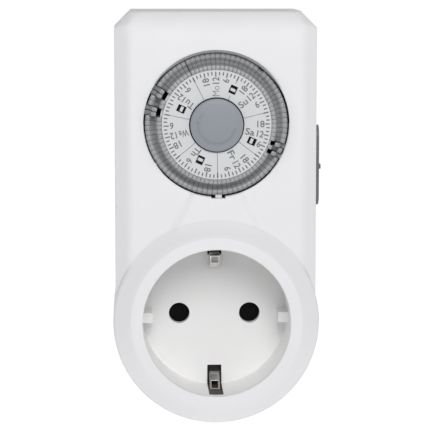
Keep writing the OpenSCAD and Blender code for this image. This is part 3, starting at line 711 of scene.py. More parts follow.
@dataclass
class FrontShell:
    """The white front cover: bevelled sides, rolled top, collar, bridge, index tab and switch marks."""

    bridge: Bridge = Bridge()
    half_w: float = 26.6
    half_face: float = 22.7
    top: float = 81.6
    corner: float = 4.3
    corner_bevel: float = 2.15
    part_v: float = 26.55
    bevel_v: float = 41.5
    front_v: float = 46.5
    rim_v: float = 49.5
    roll_v: float = 34.5
    roll_z: float = 73.2
    roll_r: float = 12.0
    collar_r: float = 27.2
    rim_r: float = 22.6
    slope: float = 0.57735
    edge_r: float = 1.5
    well_r: float = 19.5
    hole_r: float = 19.1
    hole_z: float = 52.33
    sink: float = 0.6
    sink_r: Range = (19.2, 22.3)
    seam_z: float = 30.2
    wall: float = 1.9
    lip: float = 0.5
    lip_r: Range = (23.0, 25.0)
    lip_depth: float = 2.5
    sharp: float = 38.0
    bevel_blend: float = 0.8
    roll_blend: float = 1.4
    collar_blend: float = 0.5
    rim_blend: float = 0.6
    hole_start_v: float = 45.5
    well_start_v: float = 47.45
    hole_steps: int = 38
    well_steps: int = 48
    slot_z: Range = (38.2, 47.6)
    slot_v: Range = (32.0, 36.0)
    notch_x: Range = (-1.4, 2.3)
    notch_z: float = 32.85
    tab_x: Range = (-0.3, 1.4)
    tab_v: Range = (45.55, 46.6)
    tab_z: Range = (32.6, 33.75)
    mark_v: float = 39.3
    mark_z: Range = (39.1, 44.1)
    mark_profile: tuple[Pair, ...] = (
        (0.0, 0.5), (0.2, 0.46), (0.36, 0.34), (0.46, 0.18), (0.5, 0.0), (0.5, -0.5),
    )
    rows: tuple[float, ...] = (40.6, 39.0, 37.5, 36.0, 34.0, 32.0, 30.0, 28.0, 26.9)
    lead_r: tuple[float, ...] = (0.03, 0.12, 0.3)
    lead_v: tuple[float, ...] = (0.16, 0.05, 0.0)

    def depth(self, x: np.ndarray, z: np.ndarray) -> np.ndarray:
        """The front surface over the whole outline.

        Args:
            x: Places to the right.
            z: Heights.

        Returns:
            How far the surface stands in front of the plug's end face.
        """
        bevel = self.front_v - self.bevel_v
        side = self.bevel_v + (self.half_w - np.abs(x)) * bevel / (self.half_w - self.half_face)
        cut = self.bevel_v + self.from_cut(x, z) * bevel / self.corner_bevel
        rise = np.sqrt(np.maximum(self.roll_r ** 2 - np.maximum(z - self.roll_z, 0) ** 2, 0))
        bevels = soft_min(side, cut, self.bevel_blend)
        face = soft_min(self.roll_v + rise, bevels, self.roll_blend) - self.dial_drop(x, z)
        face = np.where(z < 0, 0.0, face)
        lift = self.bridge.lift(x, z)
        low, high = self.bridge.zone
        raised = np.where((z > low) & (z < high), self.front_v + self.bridge.height * lift, 0.0)
        face = np.where(lift > 0, np.maximum(face, raised), face)
        return soft_max(face, self.collar(np.hypot(x, z), z, side), self.collar_blend)

    def from_cut(self, x: np.ndarray, z: np.ndarray) -> np.ndarray:
        """How far a place lies inside the cut corners."""
        return (self.half_w + self.top - self.corner - np.abs(x) - z) / math.sqrt(2)

    def collar(self, r: np.ndarray, z: np.ndarray, side: np.ndarray) -> np.ndarray:
        """The collar: a flat rim, a cone with a rounded edge, and its foot that runs out on the bevels.

        Args:
            r: Distances from the socket's axis.
            z: Heights.
            side: The bevels' surface.

        Returns:
            Its surface.
        """
        tilt = math.atan(self.slope)
        line = self.rim_v - (r - self.rim_r) * self.slope
        middle_r = self.collar_r - self.edge_r
        turn_r = middle_r + self.edge_r * math.sin(tilt)
        middle_v = self.rim_v - (turn_r - self.rim_r) * self.slope - self.edge_r * math.cos(tilt)
        edge = middle_v + np.sqrt(np.maximum(self.edge_r ** 2 - np.maximum(r - middle_r, 0) ** 2, 0))
        cone = np.where(r > self.collar_r + 1e-6, 0.0, np.where(r > turn_r, edge, line))
        foot = np.where(z < 0, 0.0, soft_min(line, side, self.bevel_blend))
        fill = 0.7 * np.clip((r - turn_r - 0.1) / 0.4, 0.02, 1)
        return soft_min(soft_max(cone, foot, fill), self.rim_v, self.rim_blend)

    def dial_drop(self, x: np.ndarray, z: np.ndarray) -> np.ndarray:
        """How much the face sinks to the left and the right of the dial's opening.

        Args:
            x: Places to the right.
            z: Heights.

        Returns:
            The drop.
        """
        up = z - self.hole_z
        away = np.maximum(np.hypot(x, up), 1.0)
        aside = np.clip((np.abs(x) / away - 0.25) / 0.5, 0, 1) * (1 - 0.6 * np.maximum(up / away, 0))
        near, far = self.sink_r
        return self.sink * np.clip((far - away) / (far - near), 0, 1) ** 2 * aside

    def edge_drop(self, x: np.ndarray, z: np.ndarray, radius: float = 0.35) -> np.ndarray:
        """How much the surface falls where it rounds off to the side walls.

        Args:
            x: Places to the right.
            z: Heights.
            radius: Radius of the rounding.

        Returns:
            The drop.
        """
        walls = np.minimum(np.minimum(self.half_w - np.abs(x), self.top - z), self.from_cut(x, z))
        inside = np.maximum(np.where(z > 0, walls, -1), self.collar_r - np.hypot(x, z))
        short = np.clip(radius - np.maximum(inside, 0), 0, radius)
        return radius - np.sqrt(radius ** 2 - short ** 2)

    def seam_points(self) -> list[Pair]:
        """Points on the line between the two patches, with pairs that meet the notch's sides.

        Returns:
            The points, from left to right.
        """
        drop = self.hole_z - self.seam_z
        special = [drop * x / math.sqrt(self.hole_r ** 2 - x * x) for x in self.notch_x]
        special += [drop * x / (self.hole_z - self.notch_z) for x in self.notch_x]
        even = [x for x in np.linspace(-self.half_w, self.half_w, 57)
                if all(abs(x - s) > 0.3 for s in special)]
        return [(float(x), self.seam_z) for x in sorted(even + special)]

    @staticmethod
    def run(a: Pair, b: Pair, step: float) -> list[Pair]:
        """Points from a up to but not at b, about a step apart."""
        n = max(1, round(math.dist(a, b) / step))
        return [(a[0] + (b[0] - a[0]) * i / n, a[1] + (b[1] - a[1]) * i / n) for i in range(n)]

    def upper_ends(self) -> list[Pair]:
        """Outline points of the dial's patch.

        Returns:
            The points, anticlockwise after the seam.
        """
        cut_z, cut_x = self.top - self.corner, self.half_w - self.corner
        stops = [(self.half_w, self.seam_z), (self.half_w, self.slot_z[0]), (self.half_w, self.slot_z[1]),
                 (self.half_w, cut_z), (cut_x, self.top), (-cut_x, self.top), (-self.half_w, cut_z),
                 (-self.half_w, self.seam_z)]
        ends: list[Pair] = []
        for a, b in zip(stops, stops[1:]):
            ends += self.run(a, b, 0.94)
        return ends[1:]

    def lower_ends(self) -> list[Pair]:
        """Outline points of the socket's patch.

        Returns:
            The points, anticlockwise after the seam.
        """
        meet = math.sqrt(self.collar_r ** 2 - self.half_w ** 2)
        start = math.degrees(math.atan2(meet, -self.half_w))
        arc = [(self.collar_r * math.cos(math.radians(a)), self.collar_r * math.sin(math.radians(a)))
               for a in np.linspace(start, 540 - start, 150)]
        sides = [self.run((x, self.seam_z), (x, 16.0), 0.9) + self.run((x, 16.0), (x, meet), 0.22)
                 for x in (-self.half_w, self.half_w)]
        return sides[0][1:] + arc + sides[1][:0:-1]

    def patch(self, centre_z: float, ends: list[Pair], start: Callable[[float, float], float],
              start_v: float, steps: int) -> np.ndarray:
        """Rays from a round opening out to the outline.

        Args:
            centre_z: Height of the opening's axis.
            ends: Where the rays end.
            start: The opening's radius along a ray, from its unit direction.
            start_v: Depth at which the opening's wall begins.
            steps: Stations after the opening's edge.

        Returns:
            Points as [ray, station, (x, v, z)].
        """
        grid = []
        for end_x, end_z in ends:
            length = math.hypot(end_x, end_z - centre_z)
            ux, uz = end_x / length, (end_z - centre_z) / length
            first = start(ux, uz)
            s = np.arange(1, steps + 1) / steps
            spread = 0.55 * s + 0.45 * np.sin(s * math.pi / 2)
            r = np.concatenate([[first] * 3, first + np.array(self.lead_r), first + self.lead_r[-1]
                                + (length - first - self.lead_r[-1]) * spread])
            x, z = ux * r, centre_z + uz * r
            v = self.depth(x, z) - self.edge_drop(x, z)
            edge = v[len(self.lead_r) + 2]
            v[:3] = (start_v, (start_v + edge) / 2, edge - self.lead_v[0] - 0.08)
            v[3:3 + len(self.lead_r)] = edge - np.array(self.lead_v)
            grid.append(np.stack([x, v, z], axis=1))
        return np.array(grid)

    def build_mesh(self) -> bpy.types.Object:
        """Makes the shell's outer skin, with a wall inside it.

        Returns:
            The shell.
        """
        shape = bmesh.new()
        seam = self.seam_points()
        upper = seam + self.upper_ends()
        lower = seam[::-1] + self.lower_ends()

        def hole(ux: float, uz: float) -> float:
            """The dial opening's radius, larger at the notch.

            Args:
                ux: How far the ray's direction points to the right.
                uz: How far it points up.

            Returns:
                The radius.
            """
            reach = (self.hole_z - self.notch_z) / -uz if uz < -0.9 else 0.0
            inside = self.notch_x[0] - 1e-6 <= ux * reach <= self.notch_x[1] + 1e-6
            return reach if reach and inside else self.hole_r

        def well(ux: float, uz: float) -> float:
            """The well's radius, the same all round."""
            return self.well_r

        dial_grid = self.patch(self.hole_z, upper, hole, self.hole_start_v, self.hole_steps)
        socket_grid = self.patch(0.0, lower, well, self.well_start_v, self.well_steps)
        self.add_patch(shape, dial_grid, upper)
        self.add_patch(shape, socket_grid, lower)
        bmesh.ops.remove_doubles(shape, verts=shape.verts, dist=0.001 * MM)
        obj = made(shape, "front_shell", turn_out=False)
        thin = obj.vertex_groups.new(name="wall")
        near, far = self.lip_r
        for vertex in obj.data.vertices:
            away = math.hypot(vertex.co.x, vertex.co.z - self.hole_z * MM) / MM
            in_front = vertex.co.y < -(self.front_v - self.lip_depth) * MM
            share = min(max((away - near) / (far - near), 0.0), 1.0) if in_front else 1.0
            thin.add([vertex.index], share, "REPLACE")
        solid = obj.modifiers.new("wall", "SOLIDIFY")
        solid.thickness = self.wall * MM
        solid.offset = -1
        solid.vertex_group = "wall"
        solid.thickness_vertex_group = self.lip / self.wall
        obj = settle(obj)
        obj.data.shade_smooth()
        obj.data.set_sharp_from_angle(angle=math.radians(self.sharp))
        return obj

    def add_patch(self, shape: bmesh.types.BMesh, grid: np.ndarray, ends: list[Pair]) -> None:
        """Adds one patch's faces, and the side wall below those rays that end on the outline.

        Args:
            shape: The mesh that grows.
            grid: The patch's points.
            ends: Where its rays end.
        """
        def vertex(p: Sequence[float]) -> bmesh.types.BMVert:
            """A vertex from millimetres."""
            return shape.verts.new(point(*p))
        skin = [[vertex(p) for p in ray] for ray in grid]
        rows = self.rows + (self.part_v,)
        walls = [[ray[-1]] + [vertex((end[0], v, end[1])) for v in rows] for ray, end in zip(skin, ends)]
        count = len(ends)
        for i in range(count):
            j = (i + 1) % count
            for a in range(len(skin[i]) - 1):
                shape.faces.new((skin[i][a], skin[i][a + 1], skin[j][a + 1], skin[j][a]))
            (x0, z0), (x1, z1) = ends[i], ends[j]
            if z0 == self.seam_z == z1:
                continue
            beside_slot = self.slot_z[0] - 0.01 < min(z0, z1) and max(z0, z1) < self.slot_z[1] + 0.01
            for a in range(len(rows)):
                if x0 > 0 and x1 > 0 and beside_slot and a and self.slot_v[0] <= rows[a] < self.slot_v[1]:
                    continue
                shape.faces.new((walls[i][a], walls[i][a + 1], walls[j][a + 1], walls[j][a]))

    def build(self) -> None:
        """Makes the shell, the index tab and the marks beside the switch."""
        dress(self.build_mesh(), Stock.HOUSING, "housing", ["front_cover"])
        tab = block_piece("index_tab", self.tab_x, self.tab_v, self.tab_z, 0.1)
        dress(tab, Stock.DIAL, "housing")
        for name, z in zip(("lower_mark", "upper_mark"), self.mark_z):
            mark = turned_piece(name, self.mark_profile, 24)
            for vertex in mark.data.vertices:
                x, y, h = vertex.co
                vertex.co = (self.half_w * MM + h, y - self.mark_v * MM, x + z * MM)
            dress(mark, Stock.SWITCH, "housing")


@dataclass
class WellTrim:
    """What lines the well: dark sheets of painted shade in the slots for the clips, their sills, and the
    pockets' floors.
    """

    slot_half: float = 1.83
    sheet: float = 0.06
    sheet_edge: float = 0.01
    block_edge: float = 0.02
    play: float = 0.03
    slot_v: Range = (29.6, 46.8)
    back_v: Range = (29.05, 29.4)
    floor_v: float = 32.0
    well_r: float = 19.5
    end_r: Range = (20.1, 20.35)
    back_r: Range = (13.9, 16.5)
    inner_r: Mapping[str, float] = field(default_factory=lambda: {"upper": 17.0, "lower": 13.8})
    sill_r: Mapping[str, Range] = field(default_factory=lambda: {
        "upper": (13.55, 15.9), "lower": (13.55, 14.3),
    })
    pocket_x: Range = (17.25, 18.95)
    pocket_v: Range = (31.2, 31.93)
    pocket_z: Range = (2.2, 5.8)

    def block(self, name: str, x: Range, v: Range, z: Range, stock: Stock, edge: float) -> None:
        """Makes one block.

        Args:
            name: The piece's name.
            x: Its limits to the right.
            v: Its limits in depth.
            z: Its limits in height.
            stock: Its finish.
            edge: Radius of its edges.
        """
        dress(block_piece(name, sorted(x), v, sorted(z), edge), stock, "housing")

    def shade_slot_and_sill(self, side: str, way: int) -> None:
        """Sets painted shade in one slot, as dark sheets on its walls and its end and a dark back behind it,
        and a sill at its foot.

        Args:
            side: The slot, "upper" or "lower".
            way: 1 for up, -1 for down.
        """
        near, far = self.slot_half, self.slot_half + self.sheet
        back, sill = near + self.play, far + self.play
        deep = self.slot_v[0]
        foot_v = (deep, self.floor_v - self.play)
        wall_r, foot_r = (self.well_r, self.end_r[1]), (self.inner_r[side], self.well_r)
        for part, x, v, r, stock, edge in (
            ("left", (-far, -near), self.slot_v, wall_r, Stock.LINING, self.sheet_edge),
            ("right", (near, far), self.slot_v, wall_r, Stock.LINING, self.sheet_edge),
            ("left_foot", (-far, -near), foot_v, foot_r, Stock.LINING, self.sheet_edge),
            ("right_foot", (near, far), foot_v, foot_r, Stock.LINING, self.sheet_edge),
            ("end", (-near, near), self.slot_v, self.end_r, Stock.LINING, self.sheet_edge),
            ("back", (-back, back), self.back_v, self.back_r, Stock.LINING, self.block_edge),
            ("sill", (-sill, sill), (deep, self.floor_v), self.sill_r[side], Stock.INSERT, self.block_edge),
        ):
            self.block(f"{side}_slot_{part}", x, v, (way * r[0], way * r[1]), stock, edge)

    def build(self) -> None:
        """Makes the trim of both slots and of the four pockets."""
        self.shade_slot_and_sill("upper", 1)
        self.shade_slot_and_sill("lower", -1)
        (inner, outer), (bottom, top) = self.pocket_x, self.pocket_z
        for side, sx in (("left", -1), ("right", 1)):
            for level, sz in (("upper", 1), ("lower", -1)):
                self.block(f"{side}_{level}_pocket_floor", (sx * inner, sx * outer), self.pocket_v,
                           (sz * bottom, sz * top), Stock.INSERT, self.block_edge)


def block_piece(name: str, x: Sequence[float], v: Sequence[float], z: Sequence[float],
                edge: float) -> bpy.types.Object:
    """A block with rounded edges.

    Args:
        name: The piece's name.
        x: Its limits to the right.
        v: Its limits in depth.
        z: Its limits in height.
        edge: Radius of its edges.

    Returns:
        The piece.
    """
    shape = bmesh.new()
    bmesh.ops.create_cube(shape, size=1.0)
    sides = (x, (-v[1], -v[0]), z)
    for vertex in shape.verts:
        corner = [limits[0] if part < 0 else limits[1] for limits, part in zip(sides, vertex.co)]
        vertex.co = [c * MM for c in corner]
    bmesh.ops.bevel(shape, geom=list(shape.edges), offset=edge * MM, segments=3, profile=0.5, affect="EDGES")
    obj = made(shape, name, turn_out=False)
    obj.data.shade_smooth()
    return obj


def turned_piece(name: str, profile: Sequence[Pair], segments: int) -> bpy.types.Object:
    """A round piece about the vertical through the origin, from a profile in millimetres.

    Args:
        name: The piece's name.
        profile: Radius and height of its section, from the top down. A first or last radius of 0 closes it.
        segments: Faces round it.

    Returns:
        The piece.
    """
    shape = bmesh.new()
    rings = []
    for r, h in profile:
        if r == 0:
            rings.append([shape.verts.new((0, 0, h * MM))] * segments)
        else:
            rings.append([shape.verts.new((r * MM * math.cos(2 * math.pi * i / segments),
                                           r * MM * math.sin(2 * math.pi * i / segments), h * MM))
                          for i in range(segments)])
    for upper, lower in zip(rings, rings[1:]):
        for i in range(segments):
            j = (i + 1) % segments
            corners = list(dict.fromkeys((upper[i], lower[i], lower[j], upper[j])))
            shape.faces.new(corners)
    for ring, turn in ((rings[0], 1), (rings[-1], -1)):
        if ring[0] is not ring[1]:
            shape.faces.new(ring[::turn])
    obj = made(shape, name)
    obj.data.shade_smooth()
    obj.data.set_sharp_from_angle(angle=math.radians(40))
    return obj


def ring_piece(name: str, r: Sequence[float], v: Sequence[float], centre_z: float) -> bpy.types.Object:
    """A square ring about an axis along the depth.

    Args:
        name: The piece's name.
        r: Its inner and outer radius.
        v: Its limits in depth.
        centre_z: Height of the axis.

    Returns:
        The piece.
    """
    shape = bmesh.new()
    section = ((r[0], v[0]), (r[1], v[0]), (r[1], v[1]), (r[0], v[1]))
    turns = np.linspace(0, 2 * math.pi, 168, endpoint=False)
    rows = [[shape.verts.new(point(a * math.cos(t), b, centre_z + a * math.sin(t))) for t in turns]
            for a, b in section]
    loft(shape, rows, round_trip=True)
    return made(shape, name)


# ---- repeated pieces ----


class Stamp:
    """A Geometry Nodes tree that sets a template on every point of a mesh, turned about the dial's axis."""

    def __init__(self) -> None:
        """Builds the tree."""
        self.tree = bpy.data.node_groups.new("stamp", "GeometryNodeTree")
        graph = Graph(self.tree)
        face = self.tree.interface
        face.new_socket("Geometry", in_out="INPUT", socket_type="NodeSocketGeometry")
        for name, kind in (("Template", "Object"), ("Size", "Float"), ("Finish", "Material")):
            face.new_socket(name, in_out="INPUT", socket_type=f"NodeSocket{kind}")
        face.new_socket("Geometry", in_out="OUTPUT", socket_type="NodeSocketGeometry")
        given = graph.add("NodeGroupInput")
        model = graph.add("GeometryNodeObjectInfo", None, {"Object": given.outputs["Template"]})
        turn = graph.out("GeometryNodeInputNamedAttribute", {"data_type": "FLOAT"}, {"Name": "turn"})
        spin = graph.add("ShaderNodeCombineXYZ", None, {1: turn * -1})
        euler = graph.add("FunctionNodeEulerToRotation", None, {0: spin.outputs[0]})
        size = graph.add("ShaderNodeCombineXYZ", None, {i: given.outputs["Size"] for i in range(3)})
        copies = graph.add("GeometryNodeInstanceOnPoints", None, {
            "Points": given.outputs["Geometry"], "Instance": model.outputs["Geometry"],
            "Rotation": euler.outputs[0], "Scale": size.outputs[0],
        })
        real = graph.add("GeometryNodeRealizeInstances", None, {0: copies.outputs[0]})
        dyed = graph.add("GeometryNodeSetMaterial", None, {
            "Geometry": real.outputs[0], "Material": given.outputs["Finish"],
        })
        graph.add("NodeGroupOutput", None, {0: dyed.outputs[0]})

    def press(self, name: str, template: bpy.types.Object, spots: Sequence[tuple[float, float, float, float]],
              stock: Stock) -> bpy.types.Object:
        """Sets the template on the spots.

        Args:
            name: The new piece's name.
            template: The template, about the origin, which is kept.
            spots: Places as x, v, z in millimetres and a turn in degrees.
            stock: The finish.

        Returns:
            The piece.
        """
        mesh = bpy.data.meshes.new(name)
        mesh.from_pydata([point(*spot[:3]) for spot in spots], [], [])
        turn = mesh.attributes.new("turn", "FLOAT", "POINT")
        turn.data.foreach_set("value", [math.radians(spot[3]) for spot in spots])
        obj = link(name, mesh)
        maker = obj.modifiers.new("stamp", "NODES")
        maker.node_group = self.tree
        set_inputs(maker, {"Template": template, "Size": 1.0, "Finish": stock.material})
        return settle(obj)


class TickRing:
    """A Geometry Nodes tree that draws the hour ticks round the dial."""

    SIZES: Mapping[str, float] = {
        "Count": 84.0, "Outer": 13.85, "Inner": 12.95, "Long inner": 12.5, "Every": 3.0, "Width": 0.33,
        "Height": 0.02, "Depth": 48.0, "Axis": DIAL_Z, "Turn": 1.1,
    }

    def build(self, stock: Stock) -> bpy.types.Object:
        """Makes the ring.

        Args:
            stock: The ink.

        Returns:
            The piece.
        """
        tree = bpy.data.node_groups.new("tick_ring", "GeometryNodeTree")
        graph = Graph(tree)
        tree.interface.new_socket("Geometry", in_out="INPUT", socket_type="NodeSocketGeometry")
        for name in self.SIZES:
            tree.interface.new_socket(name, in_out="INPUT", socket_type="NodeSocketFloat")
        tree.interface.new_socket("Finish", in_out="INPUT", socket_type="NodeSocketMaterial")
        tree.interface.new_socket("Geometry", in_out="OUTPUT", socket_type="NodeSocketGeometry")
        given = graph.add("NodeGroupInput")
        size = {name: Expr(graph, given.outputs[name]) for name in self.SIZES}
        index = graph.out("GeometryNodeInputIndex")
        angle = index * (2 * math.pi) / size["Count"] + size["Turn"] * math.radians(1) - math.pi / 2
        is_long = graph.math("MODULO", index, size["Every"]) < 0.5
        inner = size["Inner"] - is_long * (size["Inner"] - size["Long inner"])
        middle = (inner + size["Outer"]) * (0.5 * MM)
        where = graph.add("ShaderNodeCombineXYZ", None, {
            0: middle * graph.math("COSINE", angle),
            1: (size["Depth"] + size["Height"] * 0.5) * -MM,
            2: middle * graph.math("SINE", angle) + size["Axis"] * MM,
        })
        spots = graph.add("GeometryNodePoints", None, {"Count": size["Count"], "Position": where.outputs[0]})
        bar = graph.add("GeometryNodeMeshCube")
        spin = graph.add("ShaderNodeCombineXYZ", None, {1: angle * -1})
        euler = graph.add("FunctionNodeEulerToRotation", None, {0: spin.outputs[0]})
        scale = graph.add("ShaderNodeCombineXYZ", None, {
            0: (size["Outer"] - inner) * MM, 1: size["Height"] * MM, 2: size["Width"] * MM,
        })
        copies = graph.add("GeometryNodeInstanceOnPoints", None, {
            "Points": spots.outputs[0], "Instance": bar.outputs[0],
            "Rotation": euler.outputs[0], "Scale": scale.outputs[0],
        })
        real = graph.add("GeometryNodeRealizeInstances", None, {0: copies.outputs[0]})
        dyed = graph.add("GeometryNodeSetMaterial", None, {
            "Geometry": real.outputs[0], "Material": given.outputs["Finish"],
        })
        graph.add("NodeGroupOutput", None, {0: dyed.outputs[0]})
        obj = link("hour_ticks", bpy.data.meshes.new("hour_ticks"))
        maker = obj.modifiers.new("ticks", "NODES")
        maker.node_group = tree
        set_inputs(maker, dict(self.SIZES, Finish=stock.material))
        return settle(obj)


# ---- dial ----


@dataclass
class Dial:
    """The weekly dial: printed disc with windows, knob with its arrow, tappets, and strip over the gap."""

    craft: Craft
    stamp: Stamp
    disc_v: float = 48.0
    print_turn: float = 1.1
    hour_step: float = 12.86
    letter_h: float = 1.78
    letter_size: float = 2.5
    bold: float = 0.042
    slim: float = -0.025
    tappet_count: int = 84
    pitch: float = 360 / 84
    gap: float = 0.34
    phase: float = 0.7
    travel: float = 1.67
    pushed: dict[str, int] = field(default_factory=lambda: {
        "tappet_right_low": 14, "tappet_right_high": 16, "tappet_left_1": 55, "tappet_left_2": 56,
        "tappet_left_3": 59, "tappet_left_4": 60,
    })
    days: tuple[tuple[str, float, float, str], ...] = (
        ("Mo", 90.0, 90.0, "12 18 6"), ("Tu", 141.43, 141.43, "12 6"), ("We", 192.86, 192.86, "12 18 6"),
        ("Th", 244.29, 231.43, "18 6"), ("Fr", 295.71, 295.71, "12 18 6"), ("Sa", 347.14, 347.14, "12 18 6"),
        ("Su", 38.57, 38.57, "12 18 6"),
    )
    windows: tuple[float, ...] = (65.0, 155.5, 245.0, 335.0)
    tappet_section: tuple[Pair, ...] = (
        (15.0, 40.66), (18.55, 40.66), (18.7, 41.2), (18.74, 44.7), (18.66, 45.05), (18.5, 45.17),
        (17.7, 45.19), (17.4, 45.05), (17.0, 44.5), (16.6, 44.2), (16.2, 44.5), (15.95, 45.3), (15.6, 47.2),
        (15.45, 47.55), (15.3, 47.64), (14.45, 47.64), (14.37, 47.55), (14.37, 46.8), (15.0, 46.8),
    )
    tappet_middle: Pair = (16.5, 43.2)
    knob_profile: tuple[Pair, ...] = (
        (0.0, 49.3), (5.5, 49.3), (5.62, 49.27), (6.6, 49.12), (6.78, 49.05), (6.87, 48.92), (6.9, 48.7),
        (6.9, 46.1), (0.0, 46.1),
    )
    joint: int = 47
    strip_angles: tuple[int, int] = (28, 146)
    catch_angle: float = 51.2

    def tappet_angle(self, i: int) -> float:
        """The angle of a tappet's middle, in degrees anticlockwise from the right."""
        return -90 + (i + self.phase) * self.pitch

    def wedge(self, name: str, half_angle: float, inset: float) -> bpy.types.Object:
        """A wedge with a tappet's section, on the right of the axis: low outer pad, saddle, high inner pad.

        Args:
            name: The wedge's name.
            half_angle: Half of the angle that it takes up, in degrees.
            inset: How far its two sides are drawn in at their edges, in millimetres.

        Returns:
            The wedge.
        """
        half = math.radians(half_angle)
        mid_r, mid_v = self.tappet_middle
        shape = bmesh.new()
        rows = []
        for share, drawn in ((-1.0, inset), (-0.9, 0.0), (0.0, -0.4 * inset), (0.9, 0.0), (1.0, inset)):
            turn = half * share
            row = []
            for r, v in self.tappet_section:
                grow = 1 - drawn * 0.6 / max(math.hypot(r - mid_r, v - mid_v), 0.5)
                out, depth = mid_r + (r - mid_r) * grow, mid_v + (v - mid_v) * grow
                row.append(shape.verts.new(point(out * math.cos(turn), depth, out * math.sin(turn))))
            rows.append(row)
        loft(shape, rows)
        obj = made(shape, name)
        obj.data.shade_smooth()
        obj.data.set_sharp_from_angle(angle=math.radians(45))
        return obj

    def build_tappets(self) -> None:
        """Makes the ring of tappets and the six that are pushed out."""
        template = self.wedge("tappet_template", (self.pitch - self.gap) / 2, 0.07)
        spots = [(0.0, 0.0, DIAL_Z, self.tappet_angle(i)) for i in range(self.tappet_count)
                 if i not in self.pushed.values()]
        ring = self.stamp.press("tappet_ring", template, spots, Stock.TAPPET)
        dress(ring, Stock.TAPPET, "dial", ["tappets_in"])
        for node, i in self.pushed.items():
            a = math.radians(self.tappet_angle(i))
            spot = (self.travel * math.cos(a), 0.0, DIAL_Z + self.travel * math.sin(a), self.tappet_angle(i))
            piece = self.stamp.press(f"{node}_pushed", template, [spot], Stock.TAPPET)
            dress(piece, Stock.TAPPET, node, [node])
        bpy.data.objects.remove(template, do_unlink=True)

    def arrow(self) -> bpy.types.Object:
        """The raised arrow on the knob: a slim bar along an arc that ends in a long head.

        Returns:
            The arrow.
        """
        middle, base, crest = 4.94, 49.28, 49.5
        bar = [(a, 0.2, crest) for a in np.linspace(172, 349, 62)]
        head = [(170.5, 0.5, crest), (140.0, 0.04, crest - 0.05)]
        shape = bmesh.new()
        for part in (bar, head):
            loft(shape, [self.row(shape, a, ((middle - half, base), (middle - half * 0.6, top),
                                             (middle + half * 0.6, top), (middle + half, base)))
                         for a, half, top in part])
        return made(shape, "knob_arrow")

    @staticmethod
    def row(shape: bmesh.types.BMesh, angle: float, section: Sequence[Sequence[float]]) -> Section:
        """A section's vertices at an angle round the dial.

        Args:
            shape: The mesh that grows.
            angle: The angle in degrees.
            section: Radius and depth of each point, and how far its circle lies above the dial's.

        Returns:
            The vertices.
        """
        t = math.radians(angle)
        return [shape.verts.new(point(r * math.cos(t), v, DIAL_Z + sum(up) + r * math.sin(t)))
                for r, v, *up in section]

    def build_gaps(self) -> None:
        """Sets a thin dark fin of painted shade into every gap between two tappets, and a wider one at the
        ring's joint.
        """
        loose = {i + side for i in self.pushed.values() for side in (-1, 0)}
        even = [i for i in range(self.tappet_count) if i != self.joint and i not in loose]
        for name, half, gaps, stock in (
            ("gap_fins", 0.15, even, Stock.GAP), ("ring_joint", 0.65, [self.joint], Stock.RECESS),
        ):
            template = self.wedge(name + "_template", half, -0.02)
            spots = [(0.0, 0.0, DIAL_Z, self.tappet_angle(i + 0.5)) for i in gaps]
            dress(self.stamp.press(name, template, spots, stock), stock, "dial")
            bpy.data.objects.remove(template, do_unlink=True)

    def labels(self) -> list[tuple[str, float, float, float]]:
        """The days and their printed hours.

        Returns:
            Each label's text, angle, radius and width.
        """
        labels: list[tuple[str, float, float, float]] = []
        for day, angle, day_angle, printed in self.days:
            hours = {"12": (angle, 11.6, 1.75), "18": (angle + self.hour_step, 11.5, 1.9),
                     "6": (angle - self.hour_step, 12.1 if day == "Sa" else 11.75, 0.95)}
            labels.append((day, day_angle, 8.86, 2.6 if day == "Mo" else 2.45))
            labels += [(hour, *hours[hour]) for hour in printed.split()]
        return labels

    def label(self, text: str, angle: float, r: float, width: float) -> bpy.types.Object:
        """One label, which reads outwards along a radius.

        Args:
            text: Its letters.
            angle: Where it lies, in degrees.
            r: Radius of its middle.
            width: Its length along the radius.

        Returns:
            A thin mesh.
        """
        curve = bpy.data.curves.new("label", "FONT")
        curve.body = text
        curve.size = self.letter_size * MM
        curve.align_x = "CENTER"
        curve.align_y = "CENTER"
        curve.resolution_u = 3
        curve.extrude = 0.01 * MM
        curve.offset = (self.slim if text == "Mo" else self.bold) * MM
        flat = settle(link("label", curve))
        xs = [vertex.co.x for vertex in flat.data.vertices]
        ys = [vertex.co.y for vertex in flat.data.vertices]
        narrow, shift = width * MM / (max(xs) - min(xs)), (max(xs) + min(xs)) / 2
        tall, middle = self.letter_h * MM / (max(ys) - min(ys)), (max(ys) + min(ys)) / 2
        a = math.radians(angle + self.print_turn)
        for vertex in flat.data.vertices:
            out = (vertex.co.x - shift) * narrow + r * MM
            aside = (vertex.co.y - middle) * tall
            vertex.co = (out * math.cos(a) - aside * math.sin(a), -(self.disc_v + 0.01) * MM - vertex.co.z,
                         DIAL_Z * MM + out * math.sin(a) + aside * math.cos(a))
        return flat

    def words(self) -> bpy.types.Object:
        """Makes the disc's numbers and short day names.

        Returns:
            One thin mesh.
        """
        shape = bmesh.new()
        for given in self.labels():
            flat = self.label(*given)
            shape.from_mesh(flat.data)
            bpy.data.objects.remove(flat, do_unlink=True)
        return made(shape, "dial_words", turn_out=False)

    def bars(self, name: str, size: Sequence[float], spots: Sequence[tuple[float, float, float]],
             stock: Stock, top_v: float, edge: float = 0.0) -> bpy.types.Object:
        """Stamps a small block round the dial.

        Args:
            name: The piece's name.
            size: The block's length along the radius, its width and its height.
            spots: Radius, angle and a shift along the circle of each.
            stock: The finish.
            top_v: Depth of the block's face.
            edge: Radius of its edges.

        Returns:
            The piece.
        """
        length, width, height = size
        block = block_piece("block_template", (-length / 2, length / 2), (-height, 0),
                            (-width / 2, width / 2), edge or min(height, width) * 0.2)
        places = []
        for r, angle, aside in spots:
            a = math.radians(angle)
            places.append((r * math.cos(a) - aside * math.sin(a), top_v,
                           DIAL_Z + r * math.sin(a) + aside * math.cos(a), angle))
        piece = self.stamp.press(name, block, places, stock)
        bpy.data.objects.remove(block, do_unlink=True)
        return piece

